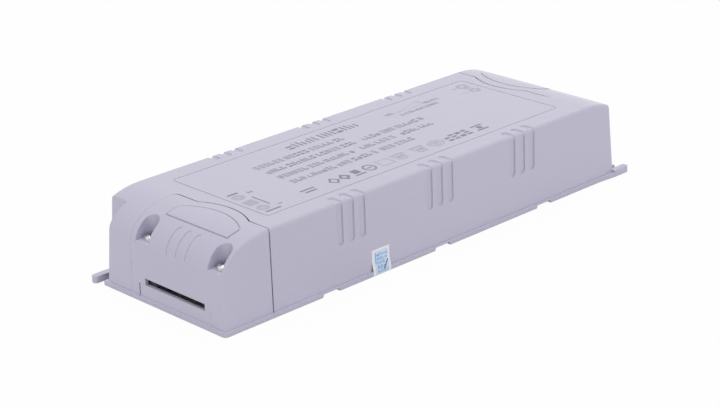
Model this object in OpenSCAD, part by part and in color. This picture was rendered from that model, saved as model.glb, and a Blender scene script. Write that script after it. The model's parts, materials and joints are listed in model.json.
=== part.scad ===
// Dimmable power supply in a moulded plastic case, with screwed terminal covers.
// X runs along the case, Y across it, Z up from the face that it stands on.
// The case looks the same after half a turn about Z.

/* [Case] */
// Length over the lip of the base
case_l = 220.3; // [200:0.1:260]
// Width over the lip of the base
case_w = 75; // [72:0.1:90]
// Height over all
case_h = 34.3; // [32.5:0.1:40]
// Height of the base plate, whose edge is the visible lip
lip_h = 1.8; // [1.4:0.1:2.4]
// How far the lip stands out past the walls
lip_proud = 0.7; // [0.3:0.1:1.2]
// Thickness of the moulded walls
wall = 1.6; // [1.2:0.1:2]
// Lean of the outer walls, degrees
draft = 0.4; // [0.2:0.1:2]
// Rounding between the side walls and the top
edge_r = 1.2; // [0.8:0.1:2.2]
// Height at which the end face turns into the end curve
shoulder_h = 19.5; // [18:0.1:21]
// Length of the end curve along X
curve_l = 23.4; // [20:0.1:26]
// Fullness of the end curve, where 2 is an ellipse
curve_power = 2.3; // [2:0.05:2.6]

/* [Terminal covers] */
// Distance from the case end to the seam on top
seam_in = 23.2; // [21:0.1:26]
// How far the middle of the seam bulges inwards
seam_bulge = 3.9; // [2:0.1:5]
// Radius of the bulge
bulge_r = 28; // [24:0.5:34]
// Distance of the seam along the case from the case's centre line
seam_side = 15.3; // [14:0.1:17]
// Visible gap across the seam
seam_gap = 0.55; // [0.2:0.05:0.8]
// Gap where the seam runs along the case
seam_gap_side = 0.04; // [0.03:0.01:0.3]
// Offset of the screw wells, panel and front grooves from the centre line
cover_mid = 11.5; // [10.5:0.1:12]
// Distance from the case end to the screws
well_in = 5.6; // [5.1:0.1:6]
// Distance between the two screws of one cover
well_pitch = 40.6; // [38:0.1:41.2]
// Diameter of a screw well
well_d = 7.6; // [6.8:0.1:8]
// Height of the floor of a screw well
well_floor = 23; // [22:0.1:24]

/* [Cable slot] */
// Length of the cable slot
slot_l = 33.8; // [24:0.1:36]
// Height of the cable slot
slot_h = 2.7; // [2:0.1:3.4]
// Height of the slot's sill above the standing face
sill_h = 6.9; // [6:0.1:8]
// Offset of the slot from the centre line
slot_mid = 9.2; // [8:0.1:10.5]
// Width of the fine slit beside the sill
slit_w = 0.6; // [0.3:0.05:1]

/* [Fixing ears] */
// Length of the corner that is left out for an ear
ear_l = 8.4; // [7.5:0.1:10]
// Distance of the fixing slot's inner side from the case side
ear_w = 5.4; // [5:0.1:7]
// Lean of the wall behind an ear, degrees
ear_lean = 5.2; // [2:0.1:6]
// Thickness of the ear
ear_h = 2.7; // [2:0.1:3.2]
// Width of the open fixing slot
fix_w = 3.2; // [3:0.1:3.6]
// How far the ear reaches past the case end
ear_reach = 1.6; // [0.2:0.1:2.5]
// How far the ear stands out past the lip's side
ear_out = 0.8; // [0:0.1:1.2]

/* [Surface detail] */
// Distance between the three groups of grooves
groove_group = 46.9; // [40:0.1:52]
// Distance between two grooves of a group
groove_pitch = 5.7; // [5:0.1:6.4]
// Width of a groove
groove_w = 2.9; // [2:0.1:3.4]
// Depth of a groove
groove_deep = 0.5; // [0.3:0.05:0.6]
// Height of the lower end of a side groove
groove_low = 17.2; // [14:0.1:22]
// Distance of a groove's upper end from the centre line
groove_top = 30.8; // [28.5:0.1:32]
// Length of the label frame
frame_l = 158.2; // [140:0.1:160]
// Width of the label frame
frame_w = 54.4; // [48:0.1:55]
// Corner radius of the label frame
frame_r = 1.5; // [1:0.1:4]
// Distance between the notches in the lip
notch_pitch = 58.9; // [50:0.1:64]
// Length of a notch in the lip
notch_l = 8.6; // [6:0.1:10]
// Depth of a notch in the lip
notch_deep = 3; // [1:0.1:5]
// Distance of the seal label from the middle of the case
seal_x = 32.8; // [30:0.1:36]
// Width of the seal label
seal_w = 9.2; // [7:0.1:12]
// Height that the seal label reaches
seal_h = 10.2; // [8:0.1:14]

/* [Board] */
// Height of the underside of the circuit board
board_z = 5.2; // [4.6:0.1:6]
// Thickness of the circuit board
board_t = 1.6; // [1.2:0.1:2]
// Diameter of the component leads
lead_d = 0.8; // [0.6:0.05:1]

/* [Hidden] */
$fn = 48;

case_grey = [0.73, 0.72, 0.78];
steel_grey = [0.75, 0.75, 0.76];
copper_red = [0.72, 0.42, 0.2];
ferrite_grey = [0.22, 0.22, 0.23];
plastic_black = [0.12, 0.12, 0.12];
fit = 0.2;

// Outer walls at the lip, at the shoulder and under the edge rounding
end_x = case_l / 2 - lip_proud;
side_y = case_w / 2 - lip_proud;
function lean(z) = (z - lip_h) * tan(draft);
shoulder_x = end_x - lean(shoulder_h);
curve_x = shoulder_x - curve_l;
curve_h = case_h - shoulder_h;
inner_y = side_y - lean(case_h) - wall;
inner_x = shoulder_x - wall + 0.1;
inner_h = case_h - wall;
board_top = board_z + board_t;
board_room = 0.4;
room_h = inner_h - board_top;
seam_x = case_l / 2 - seam_in;
bulge_x = seam_x - seam_bulge;
well_x = case_l / 2 - well_in;
ear_draft = 7;
well_base = well_floor - 1.5;
board_w = 2 * (inner_y - 1.7);
board_x = seam_x - 2.6;

curve_steps = 10;
edge_steps = 4;

// A point of the end curve at angle a, set in from the surface by d
function curve_raw(a) = [curve_x + curve_l * pow(cos(a), 2 / curve_power),
    shoulder_h + curve_h * pow(sin(a), 2 / curve_power)];
function curve_slope(a) = let (p = curve_raw(max(a - 2, 0)), q = curve_raw(min(a + 2, 90)))
    (q - p) / norm(q - p);
function curve_point(a, d) = let (p = curve_raw(a), s = curve_slope(a))
    [p[0] - d * s[1], p[1] + d * s[0]];

// Walls of the corner above an ear, and the rounding where its inner wall meets the curve
ear_round_r = 0.8;
ear_edge_in = 2.1;
ear_round_a = acos(pow((case_l / 2 - ear_l - ear_edge_in - curve_x) / curve_l, curve_power / 2));
ear_round = curve_point(ear_round_a, ear_round_r);
ear_edge = curve_point(ear_round_a, 0);
ear_wall_x = ear_round[0] + ear_round_r / cos(ear_lean) + (ear_round[1] - lip_h) * tan(ear_lean);
ear_wall_end = ear_wall_x - (case_h - lip_h) * tan(ear_lean);
ear_shelf = 1.05;
ear_slot_y = case_w / 2 - ear_w;
ear_wall_y = ear_slot_y - ear_shelf;
ear_wall_top = ear_wall_y - (case_h - lip_h) * tan(ear_draft);

// One corner of the skin's grid: station i climbs the end, step j rounds the edge
function skin_xz(i, d) = i == 0 ? [end_x - d, lip_h]
    : i == 1 ? [shoulder_x - d, shoulder_h]
    : i == curve_steps + 1 ? [curve_x, case_h - d]
    : curve_point(90 * (i - 1) / curve_steps, d);
function skin_point(sx, i, sy, j) = let (
        a = 90 * j / edge_steps,
        p = skin_xz(i, edge_r * (1 - cos(a))))
    [sx * p[0], sy * (side_y - lean(p[1]) - edge_r * (1 - sin(a))), p[1]];

// The whole closed outer form above the lip
module case_skin() {
    last = curve_steps + 1;
    stations = concat([for (i = [0:last]) [-1, i]], [for (i = [last:-1:0]) [1, i]]);
    columns = concat([for (j = [edge_steps:-1:0]) [-1, j]], [for (j = [0:edge_steps]) [1, j]]);
    n = len(stations);
    m = len(columns);
    polyhedron(
        points = [for (s = stations, c = columns) skin_point(s[0], s[1], c[0], c[1])],
        faces = concat(
            [for (s = [0:n - 2], c = [0:m - 2])
                [s * m + c, s * m + c + 1, (s + 1) * m + c + 1, (s + 1) * m + c]],
            [[for (s = [0:n - 1]) s * m]],
            [[for (s = [n - 1:-1:0]) s * m + m - 1]],
            [concat([for (c = [m - 1:-1:0]) c], [for (c = [0:m - 1]) (n - 1) * m + c])]));
}

// Extrudes an XZ outline along Y from y0 to y1
module along_y(y0, y1) {
    translate([0, y1, 0]) rotate([90, 0, 0]) linear_extrude(y1 - y0) children();
}

// Extrudes a YZ outline along X from x0 to x1
module along_x(x0, x1) {
    translate([x0, 0, 0]) rotate([90, 0, 90]) linear_extrude(x1 - x0) children();
}

module block(low, high) {
    translate(low) cube(high - low);
}

module round_plate(l, w, r) {
    square([l - 2 * r, w], center = true);
    square([l, w - 2 * r], center = true);
    for (sx = [-1, 1], sy = [-1, 1])
        translate([sx * (l / 2 - r), sy * (w / 2 - r)]) circle(r);
}

// The same thing at both ends, half a turn apart
module both_ends() {
    children();
    rotate([0, 0, 180]) children();
}

// The hollow inside the skin, as an outline along Y
module cavity(y0, y1) {
    steps = 6;
    half = concat([[inner_x, lip_h - 1], [inner_x, shoulder_h]],
        [for (i = [1:steps]) let (a = 90 * i / steps)
            [curve_x + (inner_x - curve_x) * pow(cos(a), 2 / curve_power),
                shoulder_h + (inner_h - shoulder_h) * pow(sin(a), 2 / curve_power)]]);
    along_y(y0, y1)
        polygon(concat([for (i = [0:len(half) - 1]) [-half[i][0], half[i][1]]],
            [for (i = [len(half) - 1:-1:0]) half[i]]));
}

// Plan of the terminal cover at the -X end, grown by the seam's gaps
module cover_plan(gap, gap_side) {
    far = case_l;
    r = 2;
    x = -seam_x + gap;
    y = seam_side + gap_side;
    translate([x - far, y - r - far]) square([far, far]);
    translate([x - r - far, y - far]) square([far, far]);
    translate([x - r, y - r]) circle(r);
    intersection() {
        translate([-bulge_x - bulge_r, -cover_mid]) circle(bulge_r + gap, $fn = 120);
        translate([-seam_x - 1, -case_w / 2]) square([seam_bulge + 2, case_w / 2 + seam_side - 1]);
    }
}

// The corner above an ear, at the (-X, +Y) corner, with rounded edges
module ear_corner() {
    turn = atan2(ear_edge[1] - ear_round[1], ear_edge[0] - ear_round[0]);
    side_r = 1.5;
    translate([-end_x + side_r, ear_wall_y - side_r, lip_h]) rotate([ear_draft, draft, 0])
        translate([0, 0, -1]) linear_extrude(case_h) difference() {
            translate([-side_r - 1, 0]) square(side_r + 1);
            circle(side_r);
        }
    intersection() {
        along_y(0, case_w) polygon(concat(
            [[-case_l, -1], [-ear_wall_x, -1], [-ear_wall_x, lip_h]],
            [for (k = [0:4]) let (a = ear_lean + (turn - ear_lean) * k / 4)
                [-ear_round[0] - ear_round_r * cos(a), ear_round[1] + ear_round_r * sin(a)]],
            [[-ear_edge[0], case_h + 2], [-case_l, case_h + 2]]));
        along_x(-case_l, 0) polygon([[ear_wall_y, -1], [ear_wall_y, lip_h],
            [ear_wall_top, case_h], [ear_wall_top, case_h + 2], [case_w, case_h + 2], [case_w, -1]]);
    }
}

// One moulded groove that runs up the -Y wall and over its edge
module side_groove(x) {
    r = edge_r - groove_deep;
    cy = side_y - lean(case_h) - edge_r;
    cz = case_h - edge_r;
    low_z = groove_low + groove_w / 2;
    low_y = side_y - lean(low_z) - groove_deep;
    top_y = groove_top + groove_w / 2;
    out = case_w / 2 + 2;
    along_x(x - groove_w / 2, x + groove_w / 2)
        polygon(concat([[-out, low_z], [-low_y, low_z]],
            [for (a = [0:30:90]) [-cy - r * cos(a), cz + r * sin(a)]],
            [[-top_y, case_h - groove_deep], [-top_y, case_h + 2], [-out, case_h + 2]]));
    translate([x, -low_y, low_z]) rotate([90, 0, 0]) cylinder(d = groove_w, h = 4);
    translate([x, -top_y, case_h - groove_deep]) cylinder(d = groove_w, h = 4);
}

module side_grooves() {
    for (g = [-1:1], k = [-1:1]) side_groove(g * groove_group + k * groove_pitch);
}

// Wall under the seam that closes the top cover towards the terminals
module partition() {
    thick = 1.4;
    difference() {
        linear_extrude(case_h) cover_plan(seam_gap + thick, seam_gap_side + thick);
        translate([0, 0, -1]) linear_extrude(case_h + 2) cover_plan(seam_gap, seam_gap_side);
        block([-case_l, -case_w, -1], [0, seam_side + seam_gap_side, board_top + board_room]);
        block([-case_l, -case_w, -1], [0, case_w, lip_h]);
    }
}

frame_line = 0.4;
frame_deep = 0.25;
module top_cover() {
    color(case_grey) difference() {
        case_skin();
        difference() {
            cavity(-inner_y, inner_y);
            both_ends() partition();
            both_ends() along_y(ear_wall_top - wall, case_w) polygon([[-case_l, lip_h],
                [-ear_wall_x + wall, lip_h], [-ear_wall_end + wall, case_h], [-case_l, case_h]]);
        }
        both_ends() translate([0, 0, -1]) linear_extrude(case_h + 2)
            cover_plan(seam_gap, seam_gap_side);
        both_ends() ear_corner();
        both_ends() side_grooves();
        translate([0, 0, case_h - frame_deep]) linear_extrude(1) difference() {
            round_plate(frame_l, frame_w, frame_r);
            round_plate(frame_l - 2 * frame_line, frame_w - 2 * frame_line, frame_r - frame_line);
        }
    }
}

// Outline of a screw well, open towards the end of the case
module well_plan(d) {
    circle(d = d);
    translate([-d, -d / 2]) square([d, d]);
}

// Plan of the pad on a terminal cover, set in from its outline by d
panel_l = 11.6;
panel_x1 = seam_x + 0.75;
panel_x0 = panel_x1 + panel_l;
panel_w = 34.2;
panel_bow = 28.7;
panel_r = 2.5;
panel_line = 0.45;
panel_deep = 0.6;
panel_proud = 0.2;
module panel_plan(d) {
    cx = -panel_x1 - panel_bow;
    fy = panel_w / 2 - panel_r;
    fx = sqrt(pow(panel_bow - panel_r, 2) - fy * fy);
    turn = atan(fy / fx);
    polygon(concat(
        [[-panel_x0 + d, -panel_w / 2 + d]],
        [for (k = [0:3]) let (a = -90 + (90 - turn) * k / 4)
            [cx + fx + (panel_r - d) * cos(a), -fy + (panel_r - d) * sin(a)]],
        [for (k = [0:16]) let (a = -turn + 2 * turn * k / 16)
            [cx + (panel_bow - d) * cos(a), (panel_bow - d) * sin(a)]],
        [for (k = [1:4]) let (a = turn + (90 - turn) * k / 4)
            [cx + fx + (panel_r - d) * cos(a), fy + (panel_r - d) * sin(a)]],
        [[-panel_x0 + d, panel_w / 2 - d]]));
}

// Outline of the pad's face, which stands proud towards its straight side, lowered by drop
function curve_z(x) = shoulder_h
    + curve_h * pow(1 - pow(max(x - curve_x, 0) / curve_l, curve_power), 1 / curve_power);
function panel_face(drop) = [for (k = [-1:8]) let (u = max(k, 0) / 8,
        x = panel_x1 + panel_l * u + (k < 0 ? -2 : 0) + (k == 8 ? 1 : 0))
    [-x, curve_z(x) + panel_proud * u - drop]];

// Pad with its face near the curve, and the fine groove round it
module panel_pad() {
    thick = 0.6;
    face = panel_face(0);
    under = panel_face(thick);
    intersection() {
        linear_extrude(case_h) panel_plan(0);
        along_y(-panel_w, panel_w)
            polygon(concat(face, [for (k = [len(under) - 1:-1:0]) under[k]]));
    }
}

module panel_groove() {
    intersection() {
        linear_extrude(case_h + 2) difference() {
            panel_plan(-panel_line / 2);
            panel_plan(panel_line / 2);
        }
        along_y(-panel_w, panel_w)
            polygon(concat(panel_face(panel_deep), [[-case_l, case_h + 2], [0, case_h + 2]]));
    }
}

// Three grooves over the end curve between the wells, with round ends
front_pitch = 5.3;
front_w = 2.5;
front_deep = 0.2;
module front_grooves() {
    low = 9;
    high = 50;
    steps = 8;
    z0 = curve_point(low, 0)[1] + front_w / 2;
    z1 = curve_point(high, 0)[1] - front_w / 2;
    for (k = [-1:1]) intersection() {
        along_y((k - 1) * front_pitch, (k + 1) * front_pitch)
            polygon(concat(
                [for (i = [-1:steps + 1])
                    let (p = curve_point(low + (high - low) * i / steps, front_deep)) [-p[0], p[1]]],
                [[-curve_x, case_h + 2], [-case_l, case_h + 2], [-case_l, shoulder_h - 2]]));
        along_x(-case_l, -curve_x) {
            translate([k * front_pitch, z0]) circle(d = front_w);
            translate([k * front_pitch, z1]) circle(d = front_w);
            translate([k * front_pitch - front_w / 2, z0]) square([front_w, z1 - z0]);
        }
    }
}

module terminal_cover() {
    difference() {
        union() {
            intersection() {
                case_skin();
                translate([0, 0, -1]) linear_extrude(case_h + 2) cover_plan(0, 0);
            }
            translate([0, -cover_mid, 0]) panel_pad();
        }
        difference() {
            cavity(-inner_y, seam_side + 1);
            for (s = [-1, 1]) translate([-well_x, -cover_mid + s * well_pitch / 2, well_base])
                linear_extrude(case_h) well_plan(well_d + 2.4);
        }
        for (s = [-1, 1]) translate([-well_x, -cover_mid + s * well_pitch / 2, 0]) {
            translate([0, 0, well_floor]) linear_extrude(case_h) well_plan(well_d);
            cylinder(d = screw_d + 0.4, h = case_h);
        }
        block([-case_l, -slot_mid - slot_l / 2, sill_h - 1],
            [-well_x, -slot_mid + slot_l / 2, sill_h + slot_h]);
        block([-case_l, -slot_mid - sill_l / 2 - seam_gap_side, 0],
            [-inner_x + 1, -slot_mid + sill_l / 2 + slit_w, sill_h]);
        translate([0, -cover_mid, 0]) {
            front_grooves();
            panel_groove();
        }
    }
}

module input_terminal_cover() {
    color(case_grey) terminal_cover();
}

module output_terminal_cover() {
    color(case_grey) rotate([0, 0, 180]) terminal_cover();
}

// Base tray, with the ears, posts and sills that the other pieces sit on
sill_l = slot_l + 6.2;
screw_d = 2;
board_screw_d = 2.1;
post_d = 3.5;
standoff_d = 6;
standoff_in = [12.35, 5.3];
standoff_x = board_x - standoff_in[0];
standoff_y = board_w / 2 - standoff_in[1];
rail_x = 0.36 * board_x;
rail_l = 0.57 * board_x;
rail_h = 5;
clamp_in = 9.65;
clamp_x = case_l / 2 - clamp_in;
clamp_h = sill_h + slot_h;
clamp_screw_y = slot_l / 2 + 1.6;
fix_end_x = ear_wall_x + 0.9; // closed end of the fixing slot

// Notch in the underside of the lip, with slanted ends
module lip_notch() {
    slant = 0.5;
    top = lip_h - 0.6;
    along_y(case_w / 2 - notch_deep, case_w) polygon([[-notch_l / 2, -1], [-notch_l / 2, 0],
        [-notch_l / 2 + slant, top], [notch_l / 2 - slant, top], [notch_l / 2, 0],
        [notch_l / 2, -1]]);
}

// The open slot between an ear's prong and the case
module fix_slot() {
    x = fix_end_x + fix_w / 2;
    translate([-x, ear_slot_y + fix_w / 2]) circle(d = fix_w);
    translate([-case_l, ear_slot_y]) square([case_l - x, fix_w]);
}

// Plan of an ear: its web, and the prong beyond the slot with its rounded tip
module ear() {
    side = case_w / 2 + ear_out;
    prong = side - ear_slot_y - fix_w;
    tip_r = prong * 0.4;
    tip = case_l / 2 + ear_reach;
    translate([-fix_end_x - fix_w, ear_slot_y])
        square([fix_end_x + fix_w - ear_wall_x, side - ear_slot_y]);
    translate([-tip + tip_r, side - prong]) square([tip - tip_r - ear_wall_x, prong]);
    translate([-tip, side - prong + tip_r]) square([tip_r, prong - 2 * tip_r]);
    for (y = [side - tip_r, side - prong + tip_r]) translate([-tip + tip_r, y]) circle(tip_r);
}

module post(x, y, d, top, hole) {
    translate([x, y, 0]) difference() {
        cylinder(d = d, h = top);
        translate([0, 0, lip_h]) cylinder(d = hole, h = top);
    }
}

// Sill that closes the cover's opening under the cable slot
module sill() {
    rib = 1.2;
    along_y(-slot_mid - sill_l / 2, -slot_mid + sill_l / 2)
        polygon([[-end_x, lip_h - 0.5], [-end_x, lip_h], [-end_x + lean(sill_h), sill_h],
            [-inner_x, sill_h], [-inner_x, lip_h - 0.5]]);
    for (k = [-2:2]) along_y(-slot_mid + k * 7 - rib / 2, -slot_mid + k * 7 + rib / 2)
        polygon([[-inner_x - 0.1, lip_h - 0.5], [-inner_x - 0.1, sill_h - 1],
            [-inner_x + 3, lip_h - 0.5]]);
}

module base_tray() {
    rail = 1.2;
    taper = 9;
    color(case_grey) difference() {
        union() {
            linear_extrude(lip_h) round_plate(case_l, case_w, 1.5);
            both_ends() {
                linear_extrude(ear_h) ear();
                linear_extrude(lip_h) polygon([[-ear_wall_x - 1, case_w / 2 - 1],
                    [-ear_wall_x - 1, case_w / 2 + ear_out], [-ear_wall_x, case_w / 2 + ear_out],
                    [-ear_wall_x + taper, case_w / 2], [-ear_wall_x + taper, case_w / 2 - 1]]);
                sill();
                for (s = [-1, 1])
                    post(-well_x, -cover_mid + s * well_pitch / 2, post_d, well_base, screw_d);
                for (s = [-1, 1])
                    post(-clamp_x, -slot_mid + s * clamp_screw_y, 4.4, clamp_h, screw_d);
                for (s = [-1, 1])
                    post(-standoff_x, s * standoff_y, standoff_d, board_z, board_screw_d + 0.1);
                for (k = [-1, 1]) block([k * rail_x - rail_l / 2, -inner_y + fit, lip_h - 0.5],
                    [k * rail_x + rail_l / 2, -inner_y + fit + rail, lip_h + rail_h]);
            }
        }
        both_ends() {
            translate([0, 0, -1]) linear_extrude(ear_h + 2) fix_slot();
            for (k = [-1:1]) translate([k * notch_pitch, 0, 0]) lip_notch();
        }
    }
}

// Pan-head screw whose head rests at the origin and whose shank points down
module pan_screw(shank_d, length, head_d, head_h) {
    difference() {
        union() {
            rotate_extrude() intersection() {
                square([head_d / 2, head_h]);
                translate([0, head_h - head_d]) circle(head_d);
            }
            translate([0, 0, -length]) cylinder(d = shank_d, h = length + head_h / 2);
        }
        for (a = [0, 90]) rotate([0, 0, a]) translate([-head_d / 3, -0.25, head_h / 2])
            cube([head_d / 1.5, 0.5, head_h]);
    }
}

cover_head_d = 4.7;
cover_head_h = 2.2;
module cover_screws() {
    color(steel_grey) both_ends() for (s = [-1, 1])
        translate([-well_x, -cover_mid + s * well_pitch / 2, well_floor])
            rotate([0, 0, 30 + 25 * s]) pan_screw(screw_d - 0.1, 10, cover_head_d, cover_head_h);
}

module clamp_screws() {
    color(steel_grey) both_ends() for (s = [-1, 1])
        translate([-clamp_x, -slot_mid + s * clamp_screw_y, clamp_h + 2])
            rotate([0, 0, 15 * s]) pan_screw(screw_d - 0.1, 7, 4, 1.5);
}

module board_screws() {
    color(steel_grey) both_ends() for (s = [-1, 1])
        translate([-standoff_x, s * standoff_y, board_top])
            rotate([0, 0, 40 * s]) pan_screw(board_screw_d, 4.6, 5, 1.7);
}

// Thin seal that bridges the cover wall and the lip
module seal_label() {
    t = 0.12;
    step = lip_h + 0.05;
    color("white") translate([-seal_x, 0, 0]) along_x(-seal_w / 2, seal_w / 2)
        polygon([[-case_w / 2, 0.2], [-case_w / 2, step], [-side_y + lean(step), step],
            [-side_y + lean(seal_h), seal_h], [-side_y + lean(seal_h) - t, seal_h],
            [-side_y + lean(step + 1) - t, step + 1], [-case_w / 2 - t, step],
            [-case_w / 2 - t, 0.2]]);
}

// Circuit board with a tongue under each terminal block
tongue_x = clamp_x - 2.9;
tongue_y = seam_side - 0.3;
block_x = tongue_x - 5.7;
input_ways = 3;
output_ways = 4;
block_w = 30;

// Where each piece stands, in shares of the board's half length and half width
function spot(u, v) = [u * board_x, v * board_w / 2];
fuse_at = spot(-0.89, -0.3);
varistor_at = spot(-0.782, -0.42);
thermistor_at = spot(-0.782, 0.12);
x_capacitor_at = spot(-0.652, -0.42);
choke_at = spot(-0.593, 0.39);
y_capacitor_at = [spot(-0.533, -0.6), spot(-0.533, -0.24)];
bridge_at = spot(-0.45, -0.45);
film_at = spot(-0.379, 0.42);
boost_at = spot(-0.237, -0.36);
bulk_at = [spot(-0.213, 0.48), spot(0.024, 0.48)];
sink_edge = 5.85;
switch_at = [0.036 * board_x, -board_w / 2 + sink_edge];
transformer_at = spot(0.285, -0.24);
diode_at = [0.616 * board_x, board_w / 2 - sink_edge];
output_capacitor_at = [spot(0.545, -0.36), spot(0.545, 0.03), spot(0.7, -0.18)];
optocoupler_at = spot(0.26, 0.42);
chip_at = [spot(0.184, 0.36), spot(0.379, 0.42), spot(0.806, 0.12)];
resistor_at = [spot(0.782, -0.42), spot(0.782, -0.6), spot(0.391, 0.75)];

// Outer sizes of the pieces on the board
fuse_l = 20;
fuse_d = 5;
fuse_pitch = fuse_l + 3.6;
varistor_d = 12;
thermistor_d = 10;
y_capacitor_d = 8;
x_capacitor_size = [10, 18, 16];
film_size = [7, 13, 11];
bulk_d = 16;
bulk_h = room_h - 2.4;
output_can_d = 10;
output_can_h = room_h - 5.9;
bridge_w = 22;
bridge_h = 17;
resistor_d = 3.2;
resistor_l = 7;
resistor_z = resistor_d / 2 + 0.2;
chip_l = 5;
chip_w = 4;
choke_r = 10;

function row(at, n, pitch) = [for (k = [0:n - 1]) [at[0], at[1] + (k - (n - 1) / 2) * pitch]];
function line(at, n, pitch) = [for (k = [0:n - 1]) [at[0] + (k - (n - 1) / 2) * pitch, at[1]]];
function each_of(places, dx, dy) = [for (p = places, s = [-1, 1]) [p[0] + s * dx, p[1] + s * dy]];
function bobbin_pins(at, y) = concat(line([at[0], at[1] - y], 4, 4), line([at[0], at[1] + y], 4, 4));

input_pins = row([-block_x, -slot_mid], input_ways, block_w / input_ways);
output_pins = row([block_x, slot_mid], output_ways, block_w / output_ways);
fuse_pins = row(fuse_at, 2, fuse_pitch);
varistor_pins = row(varistor_at, 2, 0.62 * varistor_d);
thermistor_pins = row(thermistor_at, 2, 0.5 * thermistor_d);
x_capacitor_pins = row(x_capacitor_at, 2, x_capacitor_size[1] - 3);
y_capacitor_pins = each_of(y_capacitor_at, 0, 0.31 * y_capacitor_d);
choke_pins = each_of([choke_at], 0.5 * choke_r, 0.6 * choke_r);
bridge_pins = row(bridge_at, 4, 0.23 * bridge_w);
film_pins = row(film_at, 2, film_size[1] - 3);
bulk_pins = each_of(bulk_at, 0.23 * bulk_d, 0);
switch_pins = line([switch_at[0], switch_at[1] + 2.4], 3, 2.54);
diode_pins = line([diode_at[0], diode_at[1] - 2.4], 3, 2.54);
output_capacitor_pins = each_of(output_capacitor_at, 0.25 * output_can_d, 0);
optocoupler_pins = concat(line(optocoupler_at - [0, 3.8], 2, 2.54),
    line(optocoupler_at + [0, 3.8], 2, 2.54));
resistor_pins = each_of(resistor_at, resistor_l / 2 + 1.5, 0);
boost_pins = bobbin_pins(boost_at, 9);
transformer_pins = bobbin_pins(transformer_at, 9);
all_pins = concat(input_pins, output_pins, fuse_pins, varistor_pins, thermistor_pins,
    x_capacitor_pins, y_capacitor_pins, choke_pins, bridge_pins, film_pins, bulk_pins,
    switch_pins, diode_pins, output_capacitor_pins, optocoupler_pins, resistor_pins,
    boost_pins, transformer_pins);

module board_plan(inset) {
    square([2 * (board_x - inset), board_w - 2 * inset], center = true);
    both_ends() translate([-tongue_x + inset, -board_w / 2 + inset])
        square([tongue_x, board_w / 2 + tongue_y - 2 * inset]);
}

module circuit_board() {
    color([0.1, 0.42, 0.2]) translate([0, 0, board_z]) linear_extrude(board_t) difference() {
        board_plan(0);
        for (p = all_pins) translate(p) circle(d = lead_d + 0.4, $fn = 16);
        both_ends() for (s = [-1, 1]) translate([-standoff_x, s * standoff_y])
            circle(d = board_screw_d + 0.5);
    }
}

module insulating_sheet() {
    color([0.9, 0.85, 0.6]) translate([0, 0, lip_h]) linear_extrude(0.3) difference() {
        board_plan(1.5);
        both_ends() for (s = [-1, 1]) translate([-standoff_x, s * standoff_y]) circle(d = standoff_d + 0.6);
    }
}

// Leads that run down through the board from height top
module leads(pins, top) {
    for (p = pins) translate([p[0], p[1], board_z - 1.2])
        cylinder(d = lead_d, h = board_t + 1.2 + top, $fn = 16);
}

// Lays out a piece at its place on the board
module on_board(at) {
    translate([at[0], at[1], board_top]) children();
}

// Screw terminal block, with its wire entries towards -X
block_h = 11;
block_depth = 10;
module terminal_block(ways) {
    pitch = block_w / ways;
    difference() {
        along_y(-block_w / 2, block_w / 2) polygon([[-block_depth / 2, 0],
            [-block_depth / 2, block_h - 3], [-block_depth / 2 + 2, block_h],
            [block_depth / 2, block_h], [block_depth / 2, 0]]);
        for (k = [0:ways - 1]) translate([0, (k - (ways - 1) / 2) * pitch, 0]) {
            translate([-block_depth, 0, 3.4]) rotate([0, 90, 0]) cylinder(d = 4.4, h = 13);
            translate([0, 0, block_h - 5]) cylinder(d = terminal_screw_d + 0.1, h = 6);
        }
    }
}

terminal_screw_d = 3.2;
module terminal_screw_row(ways) {
    for (k = [0:ways - 1]) translate([0, (k - (ways - 1) / 2) * block_w / ways, block_h - 5])
        difference() {
            cylinder(d = terminal_screw_d, h = 3.4);
            translate([-2, -0.3, 2.6]) cube([4, 0.6, 2]);
        }
}

module input_terminal_block() {
    color(plastic_black) {
        on_board([-block_x, -slot_mid]) terminal_block(input_ways);
        leads(input_pins, 0.8);
    }
}

module output_terminal_block() {
    color(plastic_black) {
        rotate([0, 0, 180]) on_board([-block_x, -slot_mid]) terminal_block(output_ways);
        leads(output_pins, 0.8);
    }
}

module terminal_screws() {
    color(steel_grey) {
        on_board([-block_x, -slot_mid]) terminal_screw_row(input_ways);
        rotate([0, 0, 180]) on_board([-block_x, -slot_mid]) terminal_screw_row(output_ways);
    }
}

// Bar that presses the cables onto the sill behind the slot
clamp_t = 2;
module cable_clamp() {
    w = 4.4;
    y = clamp_screw_y;
    translate([-clamp_x, -slot_mid, clamp_h]) difference() {
        union() {
            linear_extrude(clamp_t) {
                square([w, 2 * y], center = true);
                for (s = [-1, 1]) translate([0, s * y]) circle(d = w);
            }
            along_y(-y + 3.6, y - 3.6) polygon([[-1.2, 0.1], [0, -1.4], [1.2, 0.1]]);
        }
        for (s = [-1, 1]) translate([0, s * y, -2]) cylinder(d = screw_d + 0.3, h = 6);
    }
}

module input_cable_clamp() {
    color(plastic_black) cable_clamp();
}

module output_cable_clamp() {
    color(plastic_black) rotate([0, 0, 180]) cable_clamp();
}

module fuse() {
    cap = fuse_l / 4;
    color([0.85, 0.85, 0.8]) {
        on_board(fuse_at) translate([0, 0, fuse_d / 2 + 0.5]) rotate([90, 0, 0]) {
            cylinder(d = fuse_d, h = fuse_l, center = true);
            for (s = [-1, 1]) translate([0, 0, s * (fuse_l - cap) / 2])
                cylinder(d = fuse_d + 0.6, h = cap, center = true);
            cylinder(d = lead_d, h = fuse_pitch, center = true, $fn = 16);
        }
        leads(fuse_pins, fuse_d / 2 + 0.5);
    }
}

// Disc component that stands on edge across X
module disc(d, t) {
    translate([0, 0, d / 2 + 1]) rotate([0, 90, 0]) rotate_extrude() polygon([[0, -t / 2],
        [d / 2 - 1, -t / 2], [d / 2, -t / 4], [d / 2, t / 4], [d / 2 - 1, t / 2], [0, t / 2]]);
}

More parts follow.
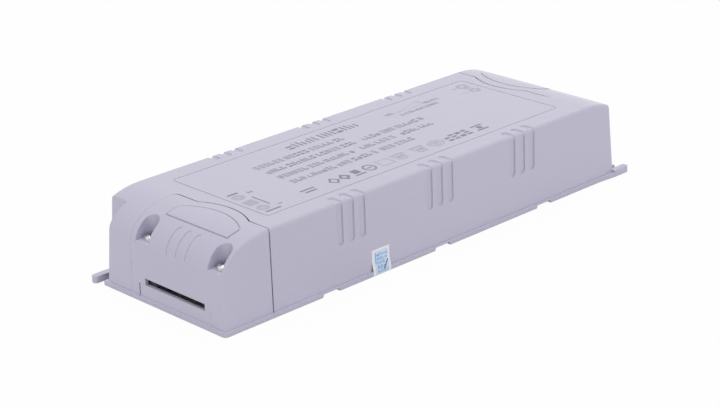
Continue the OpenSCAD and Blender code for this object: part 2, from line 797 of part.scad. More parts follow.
module varistor() {
    color([0.2, 0.35, 0.6]) {
        on_board(varistor_at) disc(varistor_d, 4.4);
        leads(varistor_pins, 4);
    }
}

module thermistor() {
    color([0.15, 0.3, 0.2]) {
        on_board(thermistor_at) disc(thermistor_d, 4);
        leads(thermistor_pins, 4);
    }
}

module y_capacitors() {
    color([0.25, 0.45, 0.7]) {
        for (p = y_capacitor_at) on_board(p) disc(y_capacitor_d, 3.6);
        leads(y_capacitor_pins, 3);
    }
}

// Boxed film capacitor with its edges bevelled
module film_box(size) {
    l = size[0] / 2;
    w = size[1] / 2;
    c = 0.6;
    linear_extrude(size[2]) polygon([[-l + c, -w], [l - c, -w], [l, -w + c], [l, w - c],
        [l - c, w], [-l + c, w], [-l, w - c], [-l, -w + c]]);
}

module x_capacitor() {
    color([0.85, 0.75, 0.3]) {
        on_board(x_capacitor_at) film_box(x_capacitor_size);
        leads(x_capacitor_pins, 1);
    }
}

module dimming_capacitor() {
    color([0.6, 0.2, 0.15]) {
        on_board(film_at) film_box(film_size);
        leads(film_pins, 1);
    }
}

// Common-mode choke, a ring core that lies on its stand
choke_bore = 5.5;
choke_low = 2;
choke_high = 10;
module choke_core() {
    color(ferrite_grey) on_board(choke_at) rotate_extrude()
        translate([choke_bore, choke_low]) square([choke_r - choke_bore, choke_high - choke_low]);
}

module choke_windings() {
    t = 1.1;
    color(copper_red) {
        leads(choke_pins, choke_low - t + 0.3);
        on_board(choke_at) {
            for (a = [20, 200]) rotate([0, 0, a]) rotate_extrude(angle = 140) difference() {
                translate([choke_bore - t, choke_low - t])
                    square([choke_r - choke_bore + 2 * t, choke_high - choke_low + 2 * t]);
                translate([choke_bore, choke_low])
                    square([choke_r - choke_bore, choke_high - choke_low]);
            }
        }
    }
}

module bridge_rectifier() {
    color(plastic_black) {
        on_board(bridge_at) along_x(-1.9, 1.9) polygon([[-bridge_w / 2, 0.8],
            [bridge_w / 2, 0.8], [bridge_w / 2, bridge_h - 1.5],
            [bridge_w / 2 - 2.5, bridge_h], [-bridge_w / 2, bridge_h]]);
        leads(bridge_pins, 2);
    }
}

// Wound component with an upright core, its plane across Y
core_h = room_h - 4.9;
yoke = 4;
leg_y = 5;
module wound_core(w) {
    leg = w / 7;
    difference() {
        block([-w / 2, -leg_y, 0], [w / 2, leg_y, core_h]);
        for (s = [-1, 1]) translate([s * (w / 2 - 3.5 + leg) / 2, 0, core_h / 2])
            cube([w / 2 - 3.5 - leg, 4 * leg_y, core_h - 2 * yoke], center = true);
    }
}

module bobbin(w) {
    tube = 1;
    x = w / 2 - 3.5 - fit;
    y = 11;
    difference() {
        union() {
            for (z = [yoke + fit, core_h - yoke - fit - tube])
                block([-x, -y, z], [x, y, z + tube]);
            block([-w / 7 - fit - tube, -leg_y - fit - tube, yoke + fit],
                [w / 7 + fit + tube, leg_y + fit + tube, core_h - yoke - fit]);
            for (s = [-1, 1]) block([-x, min(s * (leg_y + fit), s * y), 0],
                [x, max(s * (leg_y + fit), s * y), yoke + fit + tube]);
        }
        block([-w / 7 - fit, -leg_y - fit, -1], [w / 7 + fit, leg_y + fit, core_h]);
    }
}

module coil(w) {
    tube = 1;
    x = w / 2 - 3.5 - fit - 0.3;
    difference() {
        block([-x, -10.4, yoke + 2 * fit + tube], [x, 10.4, core_h - yoke - 2 * fit - tube]);
        block([-w / 7 - 2 * fit - tube, -leg_y - 2 * fit - tube, 0],
            [w / 7 + 2 * fit + tube, leg_y + 2 * fit + tube, core_h]);
    }
}

boost_w = 26;
transformer_w = 28;

module boost_inductor_core() {
    color(ferrite_grey) on_board(boost_at) wound_core(boost_w);
}

module boost_inductor_bobbin() {
    color(plastic_black) {
        on_board(boost_at) bobbin(boost_w);
        leads(boost_pins, 1);
    }
}

module boost_inductor_winding() {
    color(copper_red) on_board(boost_at) coil(boost_w);
}

module transformer_core() {
    color(ferrite_grey) on_board(transformer_at) wound_core(transformer_w);
}

module transformer_bobbin() {
    color(plastic_black) {
        on_board(transformer_at) bobbin(transformer_w);
        leads(transformer_pins, 1);
    }
}

module transformer_winding() {
    color([0.85, 0.7, 0.15]) on_board(transformer_at) coil(transformer_w);
}

// Upright can capacitor with its rolled groove
module can(d, h) {
    bead = 0.6;
    bead_z = 2.8;
    rotate_extrude() polygon([[0, 0], [d / 2, 0], [d / 2, bead_z - bead], [d / 2 - 0.5, bead_z],
        [d / 2, bead_z + bead], [d / 2, h - bead], [d / 2 - bead, h], [0, h]]);
}

module bulk_capacitors() {
    color([0.12, 0.15, 0.3]) {
        for (p = bulk_at) on_board(p) can(bulk_d, bulk_h);
        leads(bulk_pins, 1);
    }
}

module output_capacitors() {
    color([0.1, 0.25, 0.2]) {
        for (p = output_capacitor_at) on_board(p) can(output_can_d, output_can_h);
        leads(output_capacitor_pins, 1);
    }
}

// Finned sink that stands along X and carries a piece on its -Y side
sink_t = 2;
switching_sink_l = 22;
output_sink_l = 24;
sink_h = room_h - 3.9;
package_z = sink_h - 11;
module heatsink(l) {
    difference() {
        union() {
            block([-l / 2, 0, 0], [l / 2, sink_t, sink_h]);
            for (k = [-2:2]) translate([k * l / 4.6, 0, 0])
                block([-0.5, sink_t - 0.1, 3], [0.5, sink_t + 1.2, sink_h]);
        }
        translate([0, -1, package_z + 6]) rotate([-90, 0, 0]) cylinder(d = 2.5, h = sink_t + 1);
    }
}

// Power package with its tab flat on the sink
module power_package() {
    difference() {
        union() {
            block([-5, -1.3, package_z - 5], [5, 0, package_z + 9.5]);
            block([-5, -4.5, package_z - 6], [5, -1.2, package_z + 3]);
            for (k = [-1:1]) translate([k * 2.54 - 0.4, -2.8, 0]) cube([0.8, 0.8, package_z - 5]);
        }
        translate([0, -3, package_z + 6]) rotate([-90, 0, 0]) cylinder(d = 3.2, h = 6);
    }
}

module package_screw() {
    translate([0, -1.3, package_z + 6]) rotate([90, 0, 0]) pan_screw(2.4, 3, 5, 1.8);
}

// The switching side stands near -Y and turned, the output side near +Y
module on_switch_side() {
    on_board(switch_at) rotate([0, 0, 180]) children();
}

module switching_heatsink() {
    color(steel_grey) on_switch_side() heatsink(switching_sink_l);
}

module switching_transistor() {
    color(plastic_black) {
        on_switch_side() power_package();
        leads(switch_pins, 0.5);
    }
}

module output_heatsink() {
    color(steel_grey) on_board(diode_at) heatsink(output_sink_l);
}

module output_diode() {
    color(plastic_black) {
        on_board(diode_at) power_package();
        leads(diode_pins, 0.5);
    }
}

module heatsink_screws() {
    color(steel_grey) {
        on_switch_side() package_screw();
        on_board(diode_at) package_screw();
    }
}

module optocoupler() {
    color(plastic_black) {
        on_board(optocoupler_at) block([-2.4, -3.2, 0.4], [2.4, 3.2, 3.8]);
        on_board(optocoupler_at) for (x = [-1.27, 1.27]) block([x - 0.3, -4.1, 1.6], [x + 0.3, 4.1, 2]);
        leads(optocoupler_pins, 1.9);
    }
}

module control_chips() {
    color(plastic_black) for (p = chip_at) on_board(p) {
        block([-chip_l / 2, -chip_w / 2, 0.2], [chip_l / 2, chip_w / 2, 1.7]);
        for (k = [-1.5:1.5]) block([k * 1.27 - 0.2, -chip_w / 2 - 1, 0],
            [k * 1.27 + 0.2, chip_w / 2 + 1, 0.4]);
    }
}

module dimming_resistors() {
    color([0.75, 0.65, 0.5]) {
        for (p = resistor_at) on_board(p) translate([0, 0, resistor_z]) rotate([0, 90, 0]) {
            cylinder(d = resistor_d, h = resistor_l, center = true);
            cylinder(d = lead_d, h = resistor_l + 3, center = true, $fn = 16);
        }
        leads(resistor_pins, resistor_z);
    }
}

base_tray();
top_cover();
input_terminal_cover();
output_terminal_cover();
cover_screws();
seal_label();
insulating_sheet();
circuit_board();
board_screws();
input_terminal_block();
output_terminal_block();
terminal_screws();
input_cable_clamp();
output_cable_clamp();
clamp_screws();
fuse();
varistor();
thermistor();
x_capacitor();
y_capacitors();
choke_core();
choke_windings();
bridge_rectifier();
dimming_capacitor();
dimming_resistors();
boost_inductor_core();
boost_inductor_bobbin();
boost_inductor_winding();
bulk_capacitors();
switching_heatsink();
switching_transistor();
transformer_core();
transformer_bobbin();
transformer_winding();
output_heatsink();
output_diode();
heatsink_screws();
output_capacitors();
optocoupler();
control_chips();
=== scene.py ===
import json
import math
import random

import bmesh
import bpy
from mathutils import Matrix, Vector
from mathutils.bvhtree import BVHTree


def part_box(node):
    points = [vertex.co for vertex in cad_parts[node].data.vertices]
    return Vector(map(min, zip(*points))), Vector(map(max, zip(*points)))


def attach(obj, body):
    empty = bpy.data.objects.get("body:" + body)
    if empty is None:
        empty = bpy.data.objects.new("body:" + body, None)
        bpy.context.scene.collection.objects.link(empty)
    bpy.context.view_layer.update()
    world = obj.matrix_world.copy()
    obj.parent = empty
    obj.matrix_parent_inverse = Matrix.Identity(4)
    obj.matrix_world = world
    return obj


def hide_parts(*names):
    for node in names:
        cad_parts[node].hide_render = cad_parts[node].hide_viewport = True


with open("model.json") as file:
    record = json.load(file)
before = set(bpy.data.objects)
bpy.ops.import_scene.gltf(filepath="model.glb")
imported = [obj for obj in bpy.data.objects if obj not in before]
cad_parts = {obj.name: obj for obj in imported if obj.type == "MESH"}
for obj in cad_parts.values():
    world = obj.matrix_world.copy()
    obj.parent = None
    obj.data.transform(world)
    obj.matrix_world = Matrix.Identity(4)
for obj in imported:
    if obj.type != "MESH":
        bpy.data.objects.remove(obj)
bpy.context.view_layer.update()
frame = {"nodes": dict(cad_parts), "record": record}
nodes = frame["nodes"]
record = frame["record"]
mm = 0.001
print("frame loaded:", len(nodes), "nodes")


def newObject(name, data):
    thing = bpy.data.objects.new(name, data)
    bpy.context.collection.objects.link(thing)
    return thing


# Camera, fitted to the edges of the case in the photograph
photoView = {
    "position": (-516.969, -540.044, 303.611),  # mm
    "azimuth": -43.315,
    "elevation": 21.527,
    "roll": -1.906,
    "lens": 101.3795,
    "sensor": 36,
    "clip": (0.01, 20),  # m
}


def buildCamera(look):
    az, el, roll = (math.radians(look[k]) for k in ("azimuth", "elevation", "roll"))
    back = Vector((math.sin(az) * math.cos(el), -math.cos(az) * math.cos(el), math.sin(el)))
    level = Vector((0, 0, 1)).cross(back).normalized()
    upright = back.cross(level)
    right = level * math.cos(roll) + upright * math.sin(roll)
    up = upright * math.cos(roll) - level * math.sin(roll)
    data = bpy.data.cameras.new("photoCamera")
    data.lens = look["lens"]
    data.sensor_width = look["sensor"]
    data.sensor_fit = "HORIZONTAL"
    data.clip_start, data.clip_end = look["clip"]
    camera = newObject("photoCamera", data)
    turn = Matrix((right, up, back)).transposed().to_4x4()
    camera.matrix_world = Matrix.Translation(Vector(look["position"]) * mm) @ turn
    bpy.context.scene.camera = camera


buildCamera(photoView)
print("camera placed")


# Small helpers for node trees; a value is a number, a colour or the socket that gives it
def addNode(tree, kind, **settings):
    n = tree.nodes.new(kind)
    for key, value in settings.items():
        setattr(n, key, value)
    return n


def plug(tree, source, target):
    tree.links.new(source, target)


def feed(tree, value, socket):
    if isinstance(value, bpy.types.NodeSocket):
        plug(tree, value, socket)
    elif value is not None:
        socket.default_value = value


def newGroup(name, inputs, outputs):
    group = bpy.data.node_groups.new(name, "ShaderNodeTree")
    for socketName, kind, value in inputs:
        s = group.interface.new_socket(socketName, in_out="INPUT", socket_type=kind)
        s.default_value = value
    for socketName, kind in outputs:
        group.interface.new_socket(socketName, in_out="OUTPUT", socket_type=kind)
    return group, group.nodes.new("NodeGroupInput"), group.nodes.new("NodeGroupOutput")


def mathStep(tree, operation, a, b=None, clamp=False):
    n = addNode(tree, "ShaderNodeMath", operation=operation, use_clamp=clamp)
    feed(tree, a, n.inputs[0])
    feed(tree, b, n.inputs[1])
    return n.outputs[0]


def vectorStep(tree, operation, a, b=None):
    n = addNode(tree, "ShaderNodeVectorMath", operation=operation)
    feed(tree, a, n.inputs[0])
    feed(tree, b, n.inputs[1])
    return n.outputs[0]


def rangeStep(tree, value, low, high, newLow=0.0, newHigh=1.0):
    n = addNode(tree, "ShaderNodeMapRange")
    plug(tree, value, n.inputs["Value"])
    for key, number in (("From Min", low), ("From Max", high), ("To Min", newLow), ("To Max", newHigh)):
        feed(tree, number, n.inputs[key])
    return n.outputs["Result"]


def noiseStep(tree, vector, scale, detail=2.0, roughness=0.5):
    n = addNode(tree, "ShaderNodeTexNoise")
    plug(tree, vector, n.inputs["Vector"])
    feed(tree, scale, n.inputs["Scale"])
    n.inputs["Detail"].default_value = detail
    n.inputs["Roughness"].default_value = roughness
    return n.outputs["Fac"]


def splitStep(tree, vector):
    n = addNode(tree, "ShaderNodeSeparateXYZ")
    plug(tree, vector, n.inputs[0])
    return n.outputs


def objectPlace(tree):
    return addNode(tree, "ShaderNodeTexCoord").outputs["Object"]


def faceNormal(tree):
    return addNode(tree, "ShaderNodeNewGeometry").outputs["Normal"]


# Satin skin that a spark-eroded mould leaves: fine pits, slow clouds in tone, soft flow marks
grainForm = {
    "fine": (3.0, 0.6),  # detail and roughness of the noise
    "fineShare": 0.6,
    "pitWidth": 0.6,
    "pitShare": 0.4,
    "flow": (0.35, 1.0, 1.0),  # stretch of the clouds
    "cloudDetail": 3.0,
    "speckScale": 0.3,
    "speckRange": (0.35, 0.65),
}


def makeMouldedGrain(form):
    group, gin, gout = newGroup(
        "mouldedGrain",
        [("Grain Scale", "NodeSocketFloat", 2600.0), ("Cloud Scale", "NodeSocketFloat", 26.0)],
        [("Height", "NodeSocketFloat"), ("Cloud", "NodeSocketFloat"), ("Speck", "NodeSocketFloat")],
    )
    place = objectPlace(group)
    fine = noiseStep(group, place, gin.outputs["Grain Scale"], *form["fine"])
    cells = addNode(group, "ShaderNodeTexVoronoi")
    plug(group, place, cells.inputs["Vector"])
    plug(group, gin.outputs["Grain Scale"], cells.inputs["Scale"])
    pits = rangeStep(group, cells.outputs["Distance"], 0.0, form["pitWidth"])
    pits = mathStep(group, "MULTIPLY", pits, form["pitShare"])
    height = mathStep(group, "ADD", mathStep(group, "MULTIPLY", fine, form["fineShare"]), pits)
    plug(group, height, gout.inputs["Height"])
    flow = addNode(group, "ShaderNodeMapping")
    flow.inputs["Scale"].default_value = form["flow"]
    plug(group, place, flow.inputs["Vector"])
    cloud = noiseStep(group, flow.outputs[0], gin.outputs["Cloud Scale"], form["cloudDetail"])
    plug(group, cloud, gout.inputs["Cloud"])
    speckScale = mathStep(group, "MULTIPLY", gin.outputs["Grain Scale"], form["speckScale"])
    speck = noiseStep(group, place, speckScale)
    plug(group, rangeStep(group, speck, *form["speckRange"]), gout.inputs["Speck"])
    return group


# Mask of the rubbed edges, which also carries a painted highlight along edges and a painted lightening of
# groove walls, and a normal that rounds them a little
rubHighlightForm = {
    "samples": 6,
    "bend": (1.0, 0.75),  # from a flat face to a full edge
    "patchDetail": 3.0,
    "patch": (0.3, 0.7, 0.6, 1.0),
}


def makeEdgeRubAndHighlight(form):
    group, gin, gout = newGroup(
        "edgeRubAndHighlight",
        [("Radius", "NodeSocketFloat", 0.0003), ("Break Up", "NodeSocketFloat", 400.0)],
        [("Mask", "NodeSocketFloat"), ("Normal", "NodeSocketVector")],
    )
    bevel = addNode(group, "ShaderNodeBevel", samples=form["samples"])
    plug(group, gin.outputs["Radius"], bevel.inputs["Radius"])
    dot = addNode(group, "ShaderNodeVectorMath", operation="DOT_PRODUCT")
    plug(group, bevel.outputs[0], dot.inputs[0])
    plug(group, faceNormal(group), dot.inputs[1])
    bend = rangeStep(group, dot.outputs["Value"], *form["bend"])
    patch = noiseStep(group, objectPlace(group), gin.outputs["Break Up"], form["patchDetail"])
    patch = rangeStep(group, patch, *form["patch"])
    plug(group, mathStep(group, "MULTIPLY", bend, patch, True), gout.inputs["Mask"])
    plug(group, bevel.outputs[0], gout.inputs["Normal"])
    return group


# Dust on faces that look up; a mask of the grooves and the feet of steps, and of every groove beyond a corner
# of the case, that carries dust and painted light lightening the shaded grooves; and a mask of the deep nooks
# for painted shade
dustLightShadeForm = {
    "samples": 6,
    "upward": (0.5, 1.0),
    "beside": (1.0, 0.45),  # from an open face to the foot of a step
    "nearShare": 0.12,  # share of the reach at which a groove is closed and a wide well isn't
    "narrow": (0.95, 0.5),
    "wide": (0.4, 0.85),
    "deep": (0.52, 0.2),
    "patchNoise": (5.0, 0.65),  # detail and roughness
    "patch": (0.42, 0.75),
    "patchShare": 0.5,
    "fillRate": 800.0,  # the painted light in a groove is at full strength 1/800 m past the corner
}


def makeDustLightAndShade(form):
    group, gin, gout = newGroup(
        "dustLightAndShade",
        [
            ("Amount", "NodeSocketFloat", 0.2),
            ("In Grooves", "NodeSocketFloat", 0.2),
            ("Patch Scale", "NodeSocketFloat", 60.0),
            ("Reach", "NodeSocketFloat", 0.004),
            ("Filled Beyond", "NodeSocketVector", (0.0, 1.0, 1.0)),
        ],
        [("Mask", "NodeSocketFloat"), ("Painted Shade", "NodeSocketFloat")],
    )
    upward = rangeStep(group, splitStep(group, faceNormal(group))["Z"], *form["upward"])
    far = addNode(group, "ShaderNodeAmbientOcclusion", samples=form["samples"])
    plug(group, gin.outputs["Reach"], far.inputs["Distance"])
    near = addNode(group, "ShaderNodeAmbientOcclusion", samples=form["samples"])
    plug(group, mathStep(group, "MULTIPLY", gin.outputs["Reach"], form["nearShare"]), near.inputs["Distance"])
    beside = rangeStep(group, far.outputs["AO"], *form["beside"])
    deep = rangeStep(group, far.outputs["AO"], *form["deep"])
    wide = rangeStep(group, near.outputs["AO"], *form["wide"])
    narrow = rangeStep(group, near.outputs["AO"], *form["narrow"])
    # The mask of the deep nooks, used for painted shade
    plug(group, mathStep(group, "MULTIPLY", deep, wide, True), gout.inputs["Painted Shade"])

    place = objectPlace(group)
    patch = noiseStep(group, place, gin.outputs["Patch Scale"], *form["patchNoise"])
    patch = mathStep(group, "MULTIPLY", rangeStep(group, patch, *form["patch"]), form["patchShare"])
    onFlats = mathStep(group, "MULTIPLY", patch, gin.outputs["Amount"])
    # Grooves, the feet of steps and every groove past the given corner; on the case this mask carries painted
    # light
    past = vectorStep(group, "SUBTRACT", vectorStep(group, "ABSOLUTE", place), gin.outputs["Filled Beyond"])
    past = splitStep(group, past)
    filled = mathStep(group, "MINIMUM", past["Y"], past["Z"])
    filled = mathStep(group, "MULTIPLY", filled, form["fillRate"], True)
    groove = mathStep(group, "MULTIPLY", mathStep(group, "MAXIMUM", beside, narrow), upward)
    groove = mathStep(group, "MAXIMUM", groove, mathStep(group, "MULTIPLY", narrow, filled))
    groove = mathStep(group, "MULTIPLY", groove, gin.outputs["In Grooves"])
    mask = mathStep(group, "ADD", mathStep(group, "MULTIPLY", upward, onFlats), groove, True)
    plug(group, mask, gout.inputs["Mask"])
    return group


# How glossy the skin is: more on the rounded edges along the side walls than on the flats
glossForm = {"rise": (0.2, 0.5), "fall": (0.995, 0.93)}  # by how far the face looks aside


def makeSkinGloss(form):
    group, gin, gout = newGroup(
        "skinGloss",
        [("Flats", "NodeSocketFloat", 0.5), ("Round Edges", "NodeSocketFloat", 1.0)],
        [("Gloss", "NodeSocketFloat")],
    )
    aside = mathStep(group, "ABSOLUTE", splitStep(group, faceNormal(group))["Y"])
    rise, fall = (rangeStep(group, aside, *form[key]) for key in ("rise", "fall"))
    band = mathStep(group, "MULTIPLY", rise, fall)
    gloss = rangeStep(group, band, 0, 1, gin.outputs["Flats"], gin.outputs["Round Edges"])
    plug(group, gloss, gout.inputs["Gloss"])
    return group


# Fine lines along one direction, as in brushed or drawn metal
lineForm = {"noise": (4.0, 0.65), "streak": (0.3, 0.7)}  # detail and roughness; range of the streaks


def makeFineLines(form):
    group, gin, gout = newGroup(
        "fineLines",
        [("Stretch", "NodeSocketVector", (1.0, 1.0, 1.0)), ("Scale", "NodeSocketFloat", 900.0)],
        [("Height", "NodeSocketFloat"), ("Streak", "NodeSocketFloat")],
    )
    mapping = addNode(group, "ShaderNodeMapping")
    plug(group, objectPlace(group), mapping.inputs["Vector"])
    plug(group, gin.outputs["Stretch"], mapping.inputs["Scale"])
    streak = noiseStep(group, mapping.outputs[0], gin.outputs["Scale"], *form["noise"])
    plug(group, streak, gout.inputs["Height"])
    plug(group, rangeStep(group, streak, *form["streak"]), gout.inputs["Streak"])
    return group


grainGroup = makeMouldedGrain(grainForm)
rubHighlightGroup = makeEdgeRubAndHighlight(rubHighlightForm)
dustLightShadeGroup = makeDustLightAndShade(dustLightShadeForm)
glossGroup = makeSkinGloss(glossForm)
lineGroup = makeFineLines(lineForm)
print("shader groups built")


def placeGroup(tree, group, **values):
    n = addNode(tree, "ShaderNodeGroup", node_tree=group)
    for key, value in values.items():
        n.inputs[key.replace("_", " ")].default_value = value
    return n


def blendColor(tree, factor, first, second):
    n = addNode(tree, "ShaderNodeMix", data_type="RGBA")
    feed(tree, factor, n.inputs[0])
    for value, socket in ((first, n.inputs[6]), (second, n.inputs[7])):
        feed(tree, (*value, 1) if isinstance(value, tuple) else value, socket)
    return n.outputs[2]


def newMaterial(name):
    material = bpy.data.materials.new(name)
    material.use_nodes = True
    return material, material.node_tree, material.node_tree.nodes["Principled BSDF"]


def scaled(color, factor):
    return tuple(min(c * factor, 1.0) for c in color)


def bumpFrom(tree, height, strength, depth, normal=None):
    bump = addNode(tree, "ShaderNodeBump")
    bump.inputs["Strength"].default_value = strength
    bump.inputs["Distance"].default_value = depth * mm
    plug(tree, height, bump.inputs["Height"])
    feed(tree, normal, bump.inputs["Normal"])
    return bump.outputs[0]


# Any moulded, dipped or printed finish: clouds, specks, rubbed edges with a painted highlight, a little dust
# with painted light in the grooves, and painted shade in the deep nooks.
# Tones are shares of the base colour, reach and filledBeyond are in millimetres
middleRange = (0.3, 0.7)  # where most of a noise lies
mouldedForm = {"speckTone": 0.8, "paintedShadeTone": 0.3, "dustRough": 0.3}
mouldedDefaults = {
    "reach": 4.0,
    "dustAndLightColor": (0.62, 0.6, 0.57),
    "filledBeyond": (0.0, 1000.0, 1000.0),  # nowhere
    "specular": 0.5,
}


def mouldedFinish(name, ownLook, form=mouldedForm):
    look = {**mouldedDefaults, "grooveDustAndLight": ownLook["dustAndLight"], **ownLook}
    material, tree, shader = newMaterial(name)
    grain = placeGroup(tree, grainGroup, Grain_Scale=look["grain"], Cloud_Scale=look["clouds"])
    rubAndHighlight = placeGroup(tree, rubHighlightGroup, Radius=look["edge"] * mm)
    dustAndLight = placeGroup(tree, dustLightShadeGroup, Amount=look["dustAndLight"], In_Grooves=look["grooveDustAndLight"])
    dustAndLight.inputs["Reach"].default_value = look["reach"] * mm
    dustAndLight.inputs["Filled Beyond"].default_value = [v * mm for v in look["filledBeyond"]]
    base = look["color"]
    cloud = rangeStep(tree, grain.outputs["Cloud"], *middleRange)
    tone = blendColor(tree, cloud, scaled(base, 1 - look["drift"]), scaled(base, 1 + look["drift"]))
    speck = mathStep(tree, "MULTIPLY", grain.outputs["Speck"], look["speck"])
    tone = blendColor(tree, speck, tone, scaled(base, form["speckTone"]))
    # Lighter edges: rubbed wear, and a painted highlight along the edges and on groove walls
    rubbedAndLit = mathStep(tree, "MULTIPLY", rubAndHighlight.outputs["Mask"], look["rubAndHighlight"])
    tone = blendColor(tree, rubbedAndLit, tone, look["rubAndHighlightColor"])
    # Dust on faces that look up, and painted light that lightens the shaded grooves
    tone = blendColor(tree, dustAndLight.outputs["Mask"], tone, look["dustAndLightColor"])
    # Painted shade: the base colour darkened in the deep nooks
    if "paintedShade" in look:
        paintedShade = mathStep(tree, "MULTIPLY", dustAndLight.outputs["Painted Shade"], look["paintedShade"])
        tone = blendColor(tree, paintedShade, tone, scaled(base, form["paintedShadeTone"]))
    plug(tree, tone, shader.inputs["Base Color"])
    rough = rangeStep(tree, grain.outputs["Height"], *middleRange, *look["rough"])
    dustRough = mathStep(tree, "MULTIPLY", dustAndLight.outputs["Mask"], form["dustRough"])
    plug(tree, mathStep(tree, "ADD", rough, dustRough, True), shader.inputs["Roughness"])
    shader.inputs["Specular IOR Level"].default_value = look["specular"]
    if "gloss" in look:
        gloss = placeGroup(tree, glossGroup, Flats=look["gloss"][0], Round_Edges=look["gloss"][1])
        plug(tree, gloss.outputs["Gloss"], shader.inputs["Coat Weight"])
        shader.inputs["Coat Roughness"].default_value = look["glossRough"]
    bump = bumpFrom(tree, grain.outputs["Height"], look["bump"], look["depth"], rubAndHighlight.outputs["Normal"])
    plug(tree, bump, shader.inputs["Normal"])
    return material


# Bare metal with fine lines, bright rubbed edges and painted shade in the nooks
metalForm = {
    "streakTones": (0.86, 1.05),
    "rubShare": 0.5,
    "rubTone": 1.2,
    "dustAndLightColor": (0.5, 0.48, 0.45),
    "paintedShadeTone": 0.1,
    "depth": 0.02,
}


def metalFinish(name, look, form=metalForm):
    material, tree, shader = newMaterial(name)
    lines = placeGroup(tree, lineGroup, Stretch=look["stretch"], Scale=look["scale"])
    rubAndHighlight = placeGroup(tree, rubHighlightGroup, Radius=look["edge"] * mm)
    dustAndLight = placeGroup(tree, dustLightShadeGroup, Amount=look["dustAndLight"], In_Grooves=look["dustAndLight"], Reach=look["reach"] * mm)
    base = look["color"]
    dark, light = (scaled(base, share) for share in form["streakTones"])
    tone = blendColor(tree, lines.outputs["Streak"], dark, light)
    rubbedAndLit = mathStep(tree, "MULTIPLY", rubAndHighlight.outputs["Mask"], form["rubShare"])
    tone = blendColor(tree, rubbedAndLit, tone, scaled(base, form["rubTone"]))
    tone = blendColor(tree, dustAndLight.outputs["Mask"], tone, form["dustAndLightColor"])
    # Painted shade: the base colour darkened to near black in the nooks and recesses
    paintedShade = mathStep(tree, "MULTIPLY", dustAndLight.outputs["Painted Shade"], look["paintedShade"])
    tone = blendColor(tree, paintedShade, tone, scaled(base, form["paintedShadeTone"]))
    plug(tree, tone, shader.inputs["Base Color"])
    plug(tree, rangeStep(tree, lines.outputs["Streak"], 0, 1, *look["rough"]), shader.inputs["Roughness"])
    shader.inputs["Metallic"].default_value = 1.0
    bump = bumpFrom(tree, lines.outputs["Height"], look["bump"], form["depth"], rubAndHighlight.outputs["Normal"])
    plug(tree, bump, shader.inputs["Normal"])
    return material


# Rows of wire or tape turns round a winding
woundForm = {
    "wave": {"Distortion": 1.2, "Detail": 2.0, "Detail Scale": 1.4},
    "grain": 1500.0,
    "clouds": 120.0,
    "turnTones": (0.45, 1.15),
    "cloudShare": 0.25,
    "cloudTone": 0.7,
    "bump": 0.8,
    "depth": 0.15,
}


def woundFinish(name, look, form=woundForm):
    material, tree, shader = newMaterial(name)
    turns = addNode(tree, "ShaderNodeTexWave", wave_type="BANDS", bands_direction=look["direction"])
    for key, value in {"Scale": look["turns"], **form["wave"]}.items():
        turns.inputs[key].default_value = value
    plug(tree, objectPlace(tree), turns.inputs["Vector"])
    grain = placeGroup(tree, grainGroup, Grain_Scale=form["grain"], Cloud_Scale=form["clouds"])
    base = look["color"]
    dark, light = (scaled(base, share) for share in form["turnTones"])
    tone = blendColor(tree, turns.outputs["Fac"], dark, light)
    cloud = mathStep(tree, "MULTIPLY", grain.outputs["Cloud"], form["cloudShare"])
    tone = blendColor(tree, cloud, tone, scaled(base, form["cloudTone"]))
    plug(tree, tone, shader.inputs["Base Color"])
    rough = rangeStep(tree, grain.outputs["Height"], *middleRange, *look["rough"])
    plug(tree, rough, shader.inputs["Roughness"])
    plug(tree, bumpFrom(tree, turns.outputs["Fac"], form["bump"], form["depth"]), shader.inputs["Normal"])
    return material


# Green lacquer over copper tracks, which show as a lighter pattern
def boardFinish(name, look):
    material, tree, shader = newMaterial(name)
    place = objectPlace(tree)
    tracks = addNode(tree, "ShaderNodeTexBrick")
    for key, value in look["tracks"].items():
        tracks.inputs[key].default_value = value
    plug(tree, place, tracks.inputs["Vector"])
    pads = addNode(tree, "ShaderNodeTexVoronoi")
    pads.inputs["Scale"].default_value = look["padScale"]
    plug(tree, place, pads.inputs["Vector"])
    grain = placeGroup(tree, grainGroup, Grain_Scale=look["grain"], Cloud_Scale=look["clouds"])
    onPad = mathStep(tree, "LESS_THAN", pads.outputs["Distance"], look["padSize"])
    copper = mathStep(tree, "MAXIMUM", tracks.outputs["Fac"], onPad)
    tone = blendColor(tree, copper, look["color"], look["trackColor"])
    cloud = mathStep(tree, "MULTIPLY", grain.outputs["Cloud"], look["cloudShare"])
    tone = blendColor(tree, cloud, tone, scaled(look["color"], look["cloudTone"]))
    plug(tree, tone, shader.inputs["Base Color"])
    rough = rangeStep(tree, grain.outputs["Height"], *middleRange, *look["rough"])
    plug(tree, rough, shader.inputs["Roughness"])
    plug(tree, bumpFrom(tree, copper, look["bump"], look["depth"]), shader.inputs["Normal"])
    return material


